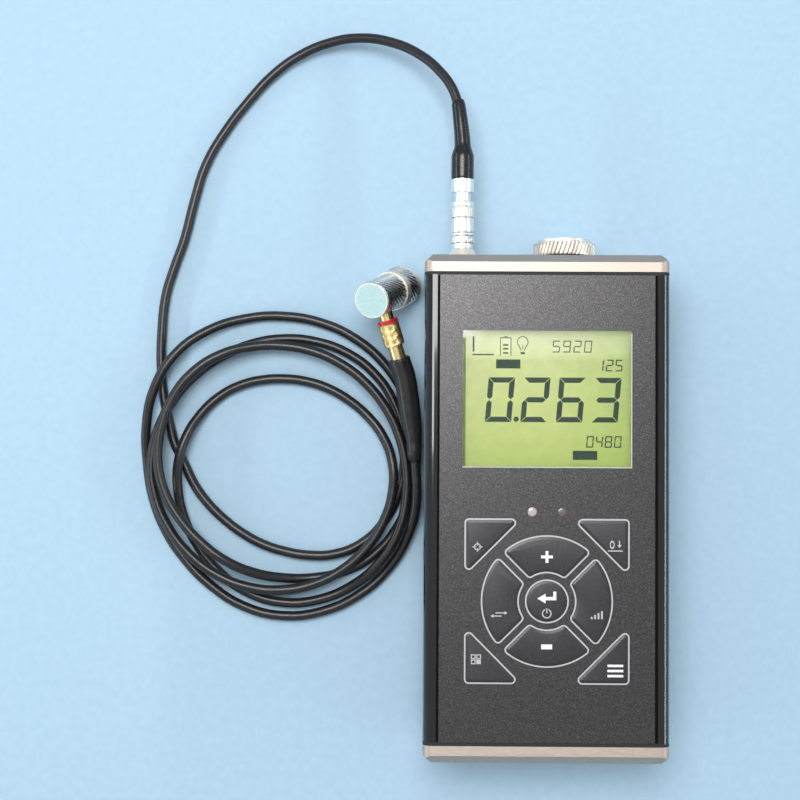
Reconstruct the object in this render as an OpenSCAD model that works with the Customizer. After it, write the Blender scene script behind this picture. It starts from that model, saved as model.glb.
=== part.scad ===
// Hand-held ultrasonic thickness gauge with its lead and contact probe.
// The origin is the centre of the case's back face. +Y points to the end with the probe socket,
// +Z out of the display. Lengths are millimetres.

/* [Case] */
// Width of the extruded case
case_w = 63.5; // [62:0.5:80]
// Depth of the case from back face to side rails
case_d = 31.5; // [31:0.5:40]
// Length of the extrusion without its end caps
case_l = 120.5; // [118:0.5:140]
// Radius of the long outer edges
case_corner_r = 2.5; // [1.5:0.1:3]
// Thickness of the side and back walls
wall = 2; // [1.5:0.1:2.4]
// Thickness of the front wall under the keypad
front_wall = 1.9; // [1.5:0.1:2.4]
// Clearance between pieces that are fitted together
fit_gap = 0.1; // [0.05:0.01:0.15]
// Radial clearance of a turning or sliding fit
run_gap = 0.05; // [0.02:0.01:0.09]

/* [End caps] */
// Thickness of an end cap
cap_t = 4.6; // [3.6:0.1:6]
// Width of the bevel round an end cap's outer face
cap_bevel = 2.1; // [1:0.1:2.5]
// Thickness of the rubber gasket under an end cap
gasket_t = 0.8; // [0.5:0.1:1.5]
// Radius of an end cap screw's thread
screw_r = 1.5; // [1.2:0.1:1.6]
// Radius of an end cap screw's head
screw_head_r = 2.6; // [2.4:0.1:2.8]
// Height of an end cap screw's countersunk head
screw_head_h = 1.6; // [1.2:0.1:1.8]
// Length of the screw's thread below the head
screw_l = 12; // [8:1:16]
// Radius of the screw bosses in the extrusion's corners
boss_r = 2.6; // [2.4:0.1:2.8]

/* [Keypad] */
// Width of the side rails beside the keypad's recess
rail_w = 3.25; // [3:0.05:4]
// Depth of the keypad's face below the rails
keypad_drop = 0.3; // [0.1:0.1:0.5]
// Thickness of the printed overlay
overlay_t = 0.5; // [0.4:0.05:0.7]
// Thickness of the spacer that the keys travel in
spacer_t = 0.5; // [0.4:0.05:0.7]
// Thickness of the membrane circuit
circuit_t = 0.3; // [0.2:0.05:0.5]
// Place of the key pad's centre along the case
pad_y = -23.95; // [-28:0.5:-23]
// Gap between the sector keys' straight sides
sector_gap = 1.6; // [1.2:0.1:2]
// Width of the whole key pad over the corner keys
pad_w = 42.5; // [42:0.5:46]
// Radius of the keys' rounded corners
key_corner_r = 1.2; // [0.8:0.1:1.5]
// Clearance round each key
key_gap = 0.12; // [0.1:0.01:0.2]
// Height of a key's embossed crown
key_crown = 0.14; // [0.05:0.01:0.2]
// Distance from a key's edge to its crown
crown_inset = 0.7; // [0.5:0.1:1]
// Travel of a key
key_travel = 0.25; // [0.15:0.01:0.28]
// Radius of a tactile dome
dome_r = 2.2; // [1.8:0.1:2.4]

/* [Display] */
// Height of the display window along the case
window_l = 35.2; // [32:0.1:37]
// Place of the window's centre along the case
window_y = 28.2; // [26:0.1:32]
// Width of the flange behind the window
window_flange = 1; // [0.8:0.1:1.2]
// Thickness of the liquid crystal cell
lcd_t = 2; // [1.6:0.1:2.4]
// Margin of the cell past the window
lcd_margin = 1.3; // [1:0.1:1.4]
// Thickness of the backlight
backlight_t = 2.8; // [2:0.1:3.5]
// Wall of the frame round the display
lcd_frame_wall = 1; // [0.8:0.1:1.1]
// Width of a conductive rubber strip
zebra_w = 1.8; // [1.5:0.1:2]
// Place of the indicator lamps along the case
led_y = -1; // [-2:0.1:1]
// Radius of an indicator lamp's body
led_r = 1.45; // [1.2:0.05:1.5]
// Radius of an indicator lamp's tip in the overlay
led_tip_r = 1.2; // [0.9:0.05:1.25]

/* [Circuit board] */
// Thickness of the main board
board_t = 1.6; // [1:0.1:1.6]
// Length by which the main board is short of the extrusion
board_short = 7.5; // [6:0.5:12]
// Depth of a card guide
guide_depth = 1.2; // [0.8:0.1:1.5]
// Thickness of a card guide
guide_t = 1; // [0.8:0.1:1.2]

/* [Battery] */
// Height of the nub on a cell
cell_nub_h = 1.4; // [1:0.1:1.5]
// Radius of the nub on a cell
cell_nub_r = 2.7; // [2.2:0.1:2.8]
// Wall of the battery tube
tube_wall = 0.8; // [0.6:0.05:0.9]
// Place of the battery tube's axis across the case
battery_x = 6.3; // [4:0.1:8]
// Radius by which the battery cap's knurled head is wider than its thread
knob_rim = 0.45; // [0.3:0.05:1]
// Height of the battery cap's knurled head
knob_h = 4.3; // [3.5:0.1:6]
// Height of the raised centre face on the battery cap
knob_face_h = 0.8; // [0.5:0.1:1.4]
// Radius by which the battery cap's thread is wider than a cell
thread_rim = 0.8; // [0.7:0.05:1]
// Pitch of the battery cap's thread
thread_pitch = 1; // [0.8:0.1:1.2]
// Turns that free the battery cap
thread_turns = 3; // [2:0.5:4]
// Number of notches in the knurl of the battery cap
knob_notches = 36; // [30:1:40]

/* [Probe socket and plug] */
// Distance of the socket's axis from the case's side
socket_in = 10.15; // [9.5:0.05:12]
// Distance of the socket's axis below the main board
socket_below = 5.7; // [5.2:0.1:6]
// Radius of the socket's threaded barrel
socket_r = 3.5; // [3.2:0.1:3.6]
// Radius of the socket's bore
socket_bore_r = 2.6; // [2.5:0.05:2.7]
// Radius of the conical nut on the socket
socket_nut_r = 4.4; // [4.2:0.05:4.8]
// Length of the nut on the socket
socket_nut_h = 3.1; // [2.6:0.1:3.4]
// Depth of the socket's bore behind the nut
socket_depth = 10; // [9:0.5:11]
// Radius of the plug's shell
plug_r = 2.85; // [2.8:0.05:3]
// Radius of the plug's knurled sleeve
sleeve_r = 3.25; // [3.1:0.05:3.4]
// Length of the plug's sliding sleeve
sleeve_l = 11.3; // [10:0.1:12]
// Travel of the plug's sliding sleeve
sleeve_travel = 1.2; // [0.8:0.1:1.4]
// Radius of the collet nut at the cord end of the plug
collet_r = 3.1; // [2.9:0.05:3.3]
// Length of the collet nut
collet_l = 3.5; // [3:0.1:4]
// Radius of the bend relief on the plug
relief_r = 3.05; // [2.9:0.05:3.3]
// Length of the thick part of the bend relief
relief_l = 6.8; // [5:0.1:9]
// Radius of the narrow sleeve behind the bend relief
relief_tip_r = 1.8; // [1.6:0.05:2]

/* [Cord] */
// Diameter of the cord
cord_d = 2.7; // [2.4:0.05:2.7]
// Radius that the coil's loops vary about
coil_r = 34; // [34:0.5:36]

/* [Probe] */
// Tilt of the probe's axis from upright
probe_tilt = 29.2; // [27:0.1:31]
// Compass angle that the probe's top leans to
probe_lean = 216.9; // [215:0.1:219]
// Radius of the delay line
delay_r = 3.2; // [2.8:0.1:3.4]
// Length of the delay line
delay_l = 7.7; // [7:0.1:8.2]
// Radius of the knurled ring that holds the delay line
delay_ring_r = 5.6; // [5.3:0.05:5.8]
// Length of the knurled ring
delay_ring_l = 6.8; // [6.2:0.1:7.2]
// Length of the ring's plain rim, round its face
ring_rim_l = 1.6; // [1.2:0.1:2]
// Thickness of the bright collar
collar_t = 1.6; // [1.2:0.1:2]
// Radius of the bright collar
collar_r = 5.4; // [5.2:0.05:5.5]
// Radius of the probe's body over its knurl
probe_r = 5; // [4.8:0.05:5.2]
// Length of the probe's body above the collar
probe_l = 11.6; // [11:0.1:13]
// Radius of the pale disc on the probe
disc_r = 4.6; // [4.2:0.05:4.7]
// Thickness of the pale disc on the probe
disc_t = 0.8; // [0.5:0.1:1]
// Height of the jack's axis above the probe's face
jack_t = 15.7; // [14.2:0.1:16.2]
// Radius of the jack
jack_r = 2; // [1.8:0.05:2.2]
// Length of the jack from the probe's axis
jack_l = 8.6; // [8:0.1:9.5]
// Radius of the gold nut
nut_r = 2.8; // [2.7:0.05:3]
// Length of the gold nut
nut_l = 6.2; // [5.5:0.1:7]
// Thickness of the red ring
red_ring_t = 1; // [0.8:0.1:1.2]
// Radius of the gold crimp behind the nut
crimp_r = 2.05; // [1.9:0.05:2.2]
// Length of the gold crimp behind the nut
crimp_l = 4.3; // [3.8:0.1:5]

/* [Hidden] */

// Extra length that lets a cut run past the face it opens
over = 0.5;
// Facets of a round corner and of an exact round piece
corner_fn = 32;
round_fn = 96;

// Places along the case
half_l = case_l / 2;
seal_y = half_l + gasket_t;
end_y = seal_y + cap_t;

// Heights of the keypad's layers
overlay_z = case_d - keypad_drop - overlay_t;
spacer_z = overlay_z - spacer_t;
circuit_z = spacer_z - circuit_t;
inner_z = circuit_z - front_wall;

// Circuit board, which lies under the display and in the card guides
lcd_z = inner_z - fit_gap - lcd_t;
backlight_z = lcd_z - backlight_t;
board_z = backlight_z - board_t - fit_gap;
board_w = case_w - 2 * wall - 4 * fit_gap;
inner_w = case_w - 2 * wall;
board_l = case_l - board_short;
board_y0 = half_l - board_l - 4 * gasket_t;

// Side of the case that the cord and the probe lie beside, and a point at that side
side_x = -case_w / 2;
function beside(p) = [side_x + p[0], p[1], p[2]];

// Screw bosses at the corners, which the card guides meet
boss_x = case_w / 2 - wall - boss_r + fit_gap;
boss_low_z = wall + boss_r - fit_gap;
boss_high_z = board_z + board_t + fit_gap + boss_r;
SCREW_PLACES = [for (x = [-boss_x, boss_x]) for (z = [boss_low_z, boss_high_z]) [x, z]];

// Recess for the keypad, and the display window, whose frame fits between the screw bosses
keypad_w = case_w - 2 * rail_w;
window_w = 2 * (boss_x - boss_r - lcd_frame_wall - lcd_margin - 5 * fit_gap);

// Sizes of the keys as shares of the whole pad's width
sector_r = pad_w * 0.4;
sector_inner_r = pad_w * 0.1694;
enter_r = pad_w * 0.133;
corner_leg = pad_w * 0.353;

// Domes: their height leaves the keys their travel, then how much narrower their top is, and where
// a corner key's dome lies along its leg
dome_h = spacer_t - key_travel - run_gap;
dome_top_share = 0.45;
corner_dome_share = 0.3;

// Space between an indicator lamp and the case centre line
led_x = window_w * 0.0881;

// Tail of the keypad, the slot it passes through and its connector on the board
tail_w = window_w * 0.25;
tail_socket_wall = 1;
tail_x = (window_w - tail_w) / 2 - 2 * tail_socket_wall;
tail_t = 0.3;
tail_space = 3;
tail_y = pad_y + pad_w / 2 + tail_space;
slot_w = 1.6;
tail_socket_l = 6;
tail_socket_h = 2.4;
gasket_lip = 0.3;
tooling_r = 1.6;

// Chips under the board: middle across and along, width and length, as shares of the board
chip_t = 1.2;
CHIP_SHARES = [[-0.34, -0.07, 0.2, 0.11], [-0.34, -0.27, 0.15, 0.08], [-0.1, 0.23, 0.12, 0.09]];
shield_w = board_w * 0.3;
shield_l = 22;
shield_h = 3;
shield_x = shield_w / 2 + 4 * fit_gap + guide_depth - inner_w / 2;
shield_y = 24;
shield_wall = 0.3;

// Cells, whose size follows the space between the back wall and the board, and the case's length
bay_d = board_z - wall;
battery_z = wall + bay_d * 0.4845;
cell_r = bay_d * 0.366;
cell_l = case_l * 0.4191;
thread_r = cell_r + thread_rim;
knob_r = thread_r + knob_rim;

// Battery tube and what lies in it, from the cap inwards
tube_bore_r = cell_r + 2 * fit_gap;
tube_r = tube_bore_r + tube_wall;
contact_t = 0.8;
thread_l = cap_t + gasket_t - fit_gap;
contact_y = end_y - thread_l - contact_t;
contact_boss_r = 3;
spring_l = 2 * thread_pitch * thread_turns;
spring_r = cell_r * 0.7;
spring_wire_r = 0.45;
spring_turns = 5;
spring_steps = 14;
spring_fn = 6;
tube_end_y = contact_y - 2 * cell_l - spring_l - fit_gap;
tube_end_t = 1.2;
cradle_w = 1.2;
cradle_angle = 38;
lead_r = 0.6;
seal_ring_r = 0.4;
seal_gap = 0.03;
knob_y = end_y + 2 * (seal_ring_r + seal_gap);
spring_taper_share = 0.35;

// Socket and plug, from the end cap outwards
socket_x = side_x + socket_in;
socket_z = board_z - socket_below;
socket_flange_r = 4.5;
socket_flange_t = 1;
socket_tail_r = 2.2;
socket_tail_wall = 1;
socket_tail_l = 4;
barrel_out = 1.2;
nut_top_r = 3;
socket_face_y = end_y + socket_nut_h;
bore_y = socket_face_y - socket_depth;
plug_y = socket_face_y + 2 * fit_gap;
ring_l = 1.2;
sleeve_y = plug_y + ring_l + fit_gap;
core_r = 2.25;
neck_l = 2 * sleeve_travel + fit_gap;
plug_front_r = socket_bore_r - run_gap;
plug_front_l = socket_depth - 3 * fit_gap;
sleeve_band_share = 0.25;
sleeve_notches = 28;
groove_depth = 0.25;
groove_w = 0.5;
collet_y = sleeve_y + sleeve_l + neck_l;
collet_thread_l = 2;
relief_y = collet_y + collet_l;
relief_taper_l = 2.4;
relief_neck_r = 2.15;
relief_fn = 20;
relief_neck_share = 0.92;
// Short last step that turns a swept end square to what it meets
seam = 0.02;

// Cord route from the plug to the coil, chosen by hand, with its places across given from the
// case's side
lead_start_z = 14.6;
LEAD_START = beside([8.75, 109, lead_start_z]);
LEAD_POINTS = [
    [7.25, 113, 14], [4.25, 117.5, 12.8], [-1.25, 122.8, 10.6], [-9.25, 127, 8.2],
    [-18.25, 128.8, 6], [-26.75, 128, 4], [-35.25, 124.8, 2.4], [-42.75, 119.5, 1.6],
    [-49.25, 112.5, 1.35], [-55.75, 104, 1.35], [-61.45, 94, 1.35], [-64.65, 83.5, 1.35],
    [-67.25, 73, 1.35], [-70.05, 65, 1.35], [-72.35, 57, 1.35], [-73.35, 46, 1.35],
    [-73.45, 39, 1.35], [-72.75, 30, 1.35], [-70.55, 20, 1.35],
];
LEAD_PLACES = [for (p = LEAD_POINTS) beside(p)];

// Coil: its radius at each eighth of a turn, as a share of coil_r, from the left side round
// through bottom, right and top. The first and last shares only steer the curve at its ends.
coil_away = 38.95;
coil_x = side_x - coil_away;
coil_y = 10.7;
coil_eighths = 36;
coil_step_share = 1 / 3;
COIL_RADIUS_SHARES = [
    1.15,
    0.82, 0.67, 0.72, 0.92, 0.99, 1.045, 1.02, 1.01,
    1.07, 1.06, 1.03, 0.97, 0.895, 0.74, 0.69, 0.76,
    0.85, 0.98, 1.14, 1.13, 1, 0.94, 0.955, 1.03,
    1, 0.91, 0.935, 1.055, 1.085, 1.16, 1.205, 1.25,
    1.12, 1.13, 1.25, 1.22, 1.08,
    0.97,
];
// Where the strand climbs on others or comes down: first eighth, last eighth, levels climbed
COIL_CLIMBS = [
    [6.5, 7.1, 1], [11.9, 12.6, -1], [15, 15.8, 1], [16, 16.6, -1], [18.5, 19.2, 1],
    [22, 22.9, 1], [25.2, 26.4, -2], [30.3, 31, 1], [31.5, 31.9, -1], [35, 35.9, 1.8],
];
// Rise of one level, which leaves a gap between crossing strands
cord_gap = 0.5;
coil_level = cord_d + cord_gap;
cord_low_z = cord_d / 2;
coil_fn = 6;
lead_fn = 8;

// Probe, whose parts lie along its axis from the face that touches the work
delay_ring_t = 0.5;
collar_at = delay_ring_t + delay_ring_l + 2 * fit_gap;
case_at = collar_at + collar_t;
disc_at = case_at + probe_l;
probe_knurls = 40;
ring_knurls = 36;
knurl_depth = 0.22;
crystal_t = 0.5;
backing_l = 6;
probe_wall = 0.9;
knurl_edge = 0.4;
nut_knurls = 24;
connector_at = jack_l - 2 * red_ring_t;
nut_at = connector_at + red_ring_t;
crimp_at = nut_at + nut_l + fit_gap;
boot_at = crimp_at + crimp_l * 0.86;
boot_fn = 16;
BOOT_BENDS = [beside([-4.45, 30, 10.6]), beside([-3.05, 20.5, 8.7])];
BOOT_RADIUS_SHARES = [1, 1, 0.98, 0.74];
boot_r = 3;
boot_tip_wall = 0.25;
probe_z = delay_ring_r * sin(probe_tilt) - delay_ring_t * cos(probe_tilt);
probe_away = 5.78;
probe_x = side_x - probe_away;
probe_y = 60.55;
PROBE_FOOT = [probe_x, probe_y, probe_z];
jack_turn = 67.5;
PROBE_AXIS = [sin(probe_tilt) * cos(probe_lean), sin(probe_tilt) * sin(probe_lean), cos(probe_tilt)];

// Colours
black_anodise = "#17181b";
nickel = "#e6e0d4";
rubber_black = "#1c1c1c";
charcoal = "#4a484b";
key_black = "#39373a";
lcd_green = "#c3ce7c";
board_green = "#1e5b3a";
gold = "#e2bd62";
steel = "#8d8f92";

// Smooth curve through four neighbouring values, at share f between the middle two
function between(a, b, c, d, f) =
    (2 * b + (c - a) * f + (2 * a - 5 * b + 4 * c - d) * f * f + (3 * b - a - 3 * c + d) * f * f * f) / 2;
function unit(v) = v / norm(v);
function ease(f) = f * f * (3 - 2 * f);
function clamp01(f) = min(max(f, 0), 1);

// Point of the coil's centre line at s eighths of a turn
function coil_radius(s) =
    let (i = min(floor(s), coil_eighths - 1))
    coil_r * between(COIL_RADIUS_SHARES[i], COIL_RADIUS_SHARES[i + 1], COIL_RADIUS_SHARES[i + 2],
                     COIL_RADIUS_SHARES[i + 3], s - i);
function level_sum(s, k = 0) =
    k == len(COIL_CLIMBS) ? 0 :
    COIL_CLIMBS[k][2] * ease(clamp01((s - COIL_CLIMBS[k][0]) / (COIL_CLIMBS[k][1] - COIL_CLIMBS[k][0])))
    + level_sum(s, k + 1);
function coil_point(s) =
    let (r = coil_radius(s), a = 180 + 45 * s)
    [coil_x + r * cos(a), coil_y + r * sin(a), cord_low_z + coil_level * level_sum(s)];
COIL_CURVE = [for (k = [0 : round(coil_eighths / coil_step_share)]) coil_point(k * coil_step_share)];
coil_last = len(COIL_CURVE) - 1;
coil_in = unit(COIL_CURVE[1] - COIL_CURVE[0]);
coil_out = unit(COIL_CURVE[coil_last] - COIL_CURVE[coil_last - 1]);
COIL_START = COIL_CURVE[0] - cord_d * coil_in;
COIL_END = COIL_CURVE[coil_last] + cord_d * coil_out;
COIL_ROUTE = concat([COIL_START], COIL_CURVE, [COIL_END]);

// Least distance between strands that are half a turn or more apart along the coil
coil_apart = round(4 / coil_step_share);
coil_least = min([for (i = [0 : coil_last - coil_apart])
                  for (j = [i + coil_apart : coil_last]) norm(COIL_CURVE[i] - COIL_CURVE[j])]);
function path_length(p, i = 1) = i == len(p) ? 0 : norm(p[i] - p[i - 1]) + path_length(p, i + 1);

// Lead, with one point more between each two of its route and a straight run into the coil
LEAD_ROUTE = concat([LEAD_START], LEAD_PLACES, [COIL_START - cord_d * coil_in, COIL_START]);
lead_n = len(LEAD_ROUTE);
LEAD_CURVE = [for (i = [0 : lead_n - 2]) for (f = [0, 0.5])
    if (i < lead_n - 2 || f == 0)
    let (p = between(LEAD_ROUTE[max(i - 1, 0)], LEAD_ROUTE[i], LEAD_ROUTE[i + 1],
                     LEAD_ROUTE[min(i + 2, lead_n - 1)], f))
    [p[0], p[1], max(p[2], cord_low_z)]];
LEAD_LINE = concat(LEAD_CURVE, [COIL_START]);
echo(coil_gap = coil_least - cord_d, coil_length = path_length(COIL_ROUTE),
                        lead_length = path_length(LEAD_LINE));

// Tube along points, with a radius at each. Its rings stand square to the line.
function tangent(p, i) = unit(p[min(i + 1, len(p) - 1)] - p[max(i - 1, 0)]);
function ring(p, i, r, n, up) =
    let (t = tangent(p, i), u = unit(cross(t, up)), v = cross(u, t))
    [for (k = [0 : n - 1]) p[i] + r * (cos(360 * k / n) * u + sin(360 * k / n) * v)];

module swept(points, radii, sides, up = [0, 0, 1]) {
    rings = len(points);
    verts = [for (i = [0 : rings - 1]) each ring(points, i, radii[i], sides, up)];
    walls = [for (i = [0 : rings - 2]) for (k = [0 : sides - 1])
             let (a = i * sides + k, b = i * sides + (k + 1) % sides)
             each [[a, b, b + sides], [a, b + sides, a + sides]]];
    first = [for (k = [1 : sides - 2]) [0, k + 1, k]];
    last_at = (rings - 1) * sides;
    last = [for (k = [1 : sides - 2]) [last_at, last_at + k, last_at + k + 1]];
    polyhedron(points = verts, faces = concat(walls, first, last), convexity = 10);
}

function same(value, count) = [for (i = [1 : count]) value];

// Straight round piece that lies along +Y from y, with its axis at x and z
module rod_y(x, z, y, r, l, r2 = undef) {
    translate([x, y, z]) rotate([-90, 0, 0])
        cylinder(h = l, r1 = r, r2 = r2 == undef ? r : r2, $fn = round_fn);
}

// Outline of the case in the XZ plane, drawn as X and Y of a flat shape
module case_outline(inset = 0) {
    x = case_w / 2 - case_corner_r;
    hull() for (sx = [-x, x]) for (z = [case_corner_r, case_d - case_corner_r])
        translate([sx, z]) circle(r = case_corner_r - inset, $fn = corner_fn);
}

// Solid along Y from a flat outline in X and Z
module along_y(y, l) {
    translate([0, y + l, 0]) rotate([90, 0, 0]) linear_extrude(height = l) children();
}

module housing() {
    color(black_anodise) difference() {
        union() {
            difference() {
                along_y(-half_l, case_l) case_outline();
                translate([-inner_w / 2, -half_l - over, wall])
                    cube([inner_w, case_l + 2 * over, inner_z - wall]);
            }
            for (p = SCREW_PLACES) rod_y(p[0], p[1], -half_l, boss_r, case_l);
            for (s = [-1, 1]) card_guides(s);
            for (s = [-1, 1]) cradle_rib(s);
        }
        translate([-keypad_w / 2, -half_l - over, circuit_z])
            cube([keypad_w, case_l + 2 * over, case_d - circuit_z + over]);
        translate([-window_w / 2 - fit_gap, window_y - window_l / 2 - fit_gap, inner_z - over])
            cube([window_w + 2 * fit_gap, window_l + 2 * fit_gap, front_wall + 2 * over]);
        for (s = [-1, 1]) translate([s * led_x, led_y, inner_z - over])
            cylinder(h = front_wall + 2 * over, r = led_r + fit_gap, $fn = round_fn);
        tail_slot(inner_z - over, front_wall + 2 * over, fit_gap);
        for (y = [-half_l - over, half_l - screw_l]) for (p = SCREW_PLACES)
            rod_y(p[0], p[1], y, screw_r, screw_l + over);
    }
}

// Two ribs on a side wall that the main board slides between
module card_guides(side) {
    for (z = [board_z - fit_gap - guide_t, board_z + board_t + fit_gap])
        translate([side > 0 ? inner_w / 2 - guide_depth : -inner_w / 2 - wall / 2, -half_l, z])
            cube([guide_depth + wall / 2, case_l, guide_t]);
}

// Rib on the back wall that the battery tube lies on
module cradle_rib(side) {
    x = battery_x + side * (tube_r + fit_gap) * sin(cradle_angle);
    z = battery_z - (tube_r + fit_gap) * cos(cradle_angle);
    translate([x - cradle_w / 2 + side * cradle_w / 2, -half_l, wall / 2])
        cube([cradle_w, case_l, z - wall / 2]);
}

// Slot for the keypad's tail, between the display and the keys
module tail_slot(z, h, gap) {
    translate([tail_x - tail_w / 2 - gap, tail_y - slot_w / 2, z])
        cube([tail_w + 2 * gap, slot_w, h]);
}

// End cap with its bevelled outer edge at the side where sign points
module cap_plate(sign) {
    plate_y = sign * (end_y - cap_t / 2 - cap_bevel / 2) - (cap_t - cap_bevel) / 2;
    difference() {
        intersection() {
            along_y(min(sign * seal_y, sign * end_y), cap_t) case_outline();
            hull() {
                translate([-case_w / 2, plate_y, 0]) cube([case_w, cap_t - cap_bevel, case_d]);
                translate([-case_w / 2 + cap_bevel, sign * (end_y - cap_t / 2) - cap_t / 2, cap_bevel])
                    cube([case_w - 2 * cap_bevel, cap_t, case_d - 2 * cap_bevel]);
            }
        }
        for (p = SCREW_PLACES) screw_cut(p, sign);
    }
}

// Clearance hole and countersink for one end cap screw
module screw_cut(p, sign) {
    y = sign > 0 ? seal_y - over : -end_y - over;
    rod_y(p[0], p[1], y, screw_r + fit_gap, cap_t + 2 * over);
    translate([p[0], sign * end_y, p[1]]) rotate([sign > 0 ? 90 : -90, 0, 0])
        cylinder(h = screw_head_h, r1 = screw_head_r + fit_gap, r2 = screw_r + fit_gap, $fn = round_fn);
}

module cap_screws(sign) {
    color(steel) for (p = SCREW_PLACES) translate([p[0], sign * end_y, p[1]])
        rotate([sign > 0 ? 90 : -90, 0, 0]) difference() {
            union() {
                cylinder(h = screw_head_h, r1 = screw_head_r, r2 = screw_r - run_gap, $fn = round_fn);
                cylinder(h = screw_l + gasket_t, r = screw_r - run_gap, $fn = round_fn);
            }
            translate([0, 0, -over]) cylinder(h = screw_head_h / 2 + over, r = screw_r * 0.7, $fn = 6);
        }
}

module top_end_cap() {
    color(nickel) difference() {
        cap_plate(1);
        rod_y(battery_x, battery_z, seal_y - over, thread_r, cap_t + 2 * over);
        rod_y(socket_x, socket_z, seal_y - over, socket_r + run_gap, cap_t + 2 * over);
    }
}

module bottom_end_cap() {
    color(nickel) cap_plate(-1);
}

// Rubber gasket: a frame that follows the extrusion's walls and screw bosses
module gasket(y, lip) {
    color(rubber_black) difference() {
        union() {
            along_y(y, gasket_t) case_outline();
            if (lip) translate([case_w / 2 - case_corner_r, y, case_d / 2])
                cube([case_corner_r + gasket_lip, gasket_t, case_d / 3]);
        }
        translate([-boss_x + boss_r, y - over, wall + guide_t])
            cube([2 * (boss_x - boss_r), gasket_t + 2 * over, board_z - wall - guide_t]);
        for (p = SCREW_PLACES) rod_y(p[0], p[1], y - over, screw_r + fit_gap, gasket_t + 2 * over);
        if (lip) rod_y(socket_x, socket_z, y - over, socket_flange_r + fit_gap, gasket_t + 2 * over);
    }
}
module top_gasket() {
    gasket(half_l, true);
}
module bottom_gasket() {
    gasket(-seal_y, false);
}

// Outlines of the keys, seen from the front
module rounded(r) {
    offset(r = r, $fn = corner_fn) offset(delta = -r) children();
}
module sector_outline(angle) {
    rotate(angle) rounded(key_corner_r) difference() {
        intersection() {
            circle(r = sector_r, $fn = round_fn);
            translate([sector_gap / sqrt(2), 0]) rotate(-45) square(2 * sector_r);
        }
        circle(r = sector_inner_r, $fn = round_fn);
    }
}
module corner_outline(sx, sy) {
    e = pad_w / 2;
    rounded(key_corner_r) polygon([[sx * e, sy * e], [sx * (e - corner_leg), sy * e],
                                   [sx * e, sy * (e - corner_leg)]]);
}
module key_outline(name) {
    translate([0, pad_y]) {
        if (name == "key_plus") sector_outline(90);
        if (name == "key_minus") sector_outline(-90);
        if (name == "key_scan") sector_outline(180);
        if (name == "key_gain") sector_outline(0);
        if (name == "key_enter") circle(r = enter_r, $fn = round_fn);
        if (name == "key_target") corner_outline(-1, 1);
        if (name == "key_zero") corner_outline(1, 1);
        if (name == "key_mode") corner_outline(-1, -1);
        if (name == "key_menu") corner_outline(1, -1);
    }
}
KEY_NAMES = ["key_plus", "key_minus", "key_scan", "key_gain", "key_enter", "key_target",
             "key_zero", "key_mode", "key_menu"];

// Where each key's dome sits: the middle of its outline
sector_mid = (sector_r + sector_inner_r) / 2;
corner_mid = pad_w / 2 - corner_leg * corner_dome_share;
KEY_MIDDLES = [[0, sector_mid], [0, -sector_mid], [-sector_mid, 0], [sector_mid, 0], [0, 0],
               [-corner_mid, corner_mid], [corner_mid, corner_mid], [-corner_mid, -corner_mid],
               [corner_mid, -corner_mid]];

module key(name) {
    color(key_black) {
        translate([0, 0, overlay_z]) linear_extrude(height = overlay_t) key_outline(name);
        translate([0, 0, overlay_z + overlay_t]) linear_extrude(height = key_crown)
            offset(delta = -crown_inset) key_outline(name);
    }
}

// Openings of a keypad layer: keys, display window and indicator lamps
module key_openings(z, t) {
    translate([0, 0, z - over]) linear_extrude(height = t + 2 * over)
        for (name = KEY_NAMES) offset(delta = key_gap) key_outline(name);
}
module window_opening(z, t, margin) {
    w = window_w + 2 * margin;
    l = window_l + 2 * margin;
    translate([-w / 2, window_y - l / 2, z - over]) cube([w, l, t + 2 * over]);
}
module lamp_openings(z, t, r) {
    for (s = [-1, 1]) translate([s * led_x, led_y, z - over])
        cylinder(h = t + 2 * over, r = r, $fn = round_fn);
}
module layer_plate(z, t) {
    w = keypad_w - 2 * fit_gap;
    translate([-w / 2, -half_l, z]) cube([w, case_l, t]);
}

module keypad_overlay() {
    color(charcoal) difference() {
        layer_plate(overlay_z, overlay_t);
        key_openings(overlay_z, overlay_t);
        window_opening(overlay_z, overlay_t, 0);
        lamp_openings(overlay_z, overlay_t, led_tip_r + run_gap);
    }
}
module keypad_spacer() {
    color("#8a8f93") difference() {
        layer_plate(spacer_z, spacer_t);
        key_openings(spacer_z, spacer_t);
        window_opening(spacer_z, spacer_t, window_flange);
        lamp_openings(spacer_z, spacer_t, led_r + fit_gap);
    }
}
module keypad_circuit() {
    color("#5f6b57") {
        difference() {
            layer_plate(circuit_z, circuit_t);
            window_opening(circuit_z, circuit_t, fit_gap);
            lamp_openings(circuit_z, circuit_t, led_r + fit_gap);
        }
        translate([tail_x - tail_w / 2, tail_y - tail_t / 2, board_z + board_t])
            cube([tail_w, tail_t, circuit_z - board_z - board_t]);
    }
}
module tactile_domes() {
    color("silver") for (p = KEY_MIDDLES) translate([p[0], p[1] + pad_y, spacer_z])
        cylinder(h = dome_h, r1 = dome_r, r2 = dome_r * dome_top_share, $fn = round_fn);
}

module display_window() {
    color([0.85, 0.9, 0.85, 0.35]) {
        translate([-window_w / 2 + run_gap, window_y - window_l / 2 + run_gap, spacer_z])
            cube([window_w - 2 * run_gap, window_l - 2 * run_gap, spacer_t + overlay_t]);
        translate([-window_w / 2 - window_flange + fit_gap, window_y - window_l / 2 - window_flange + fit_gap,
                   spacer_z])
            cube([window_w + 2 * (window_flange - fit_gap), window_l + 2 * (window_flange - fit_gap),
                  spacer_t]);
    }
}

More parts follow.
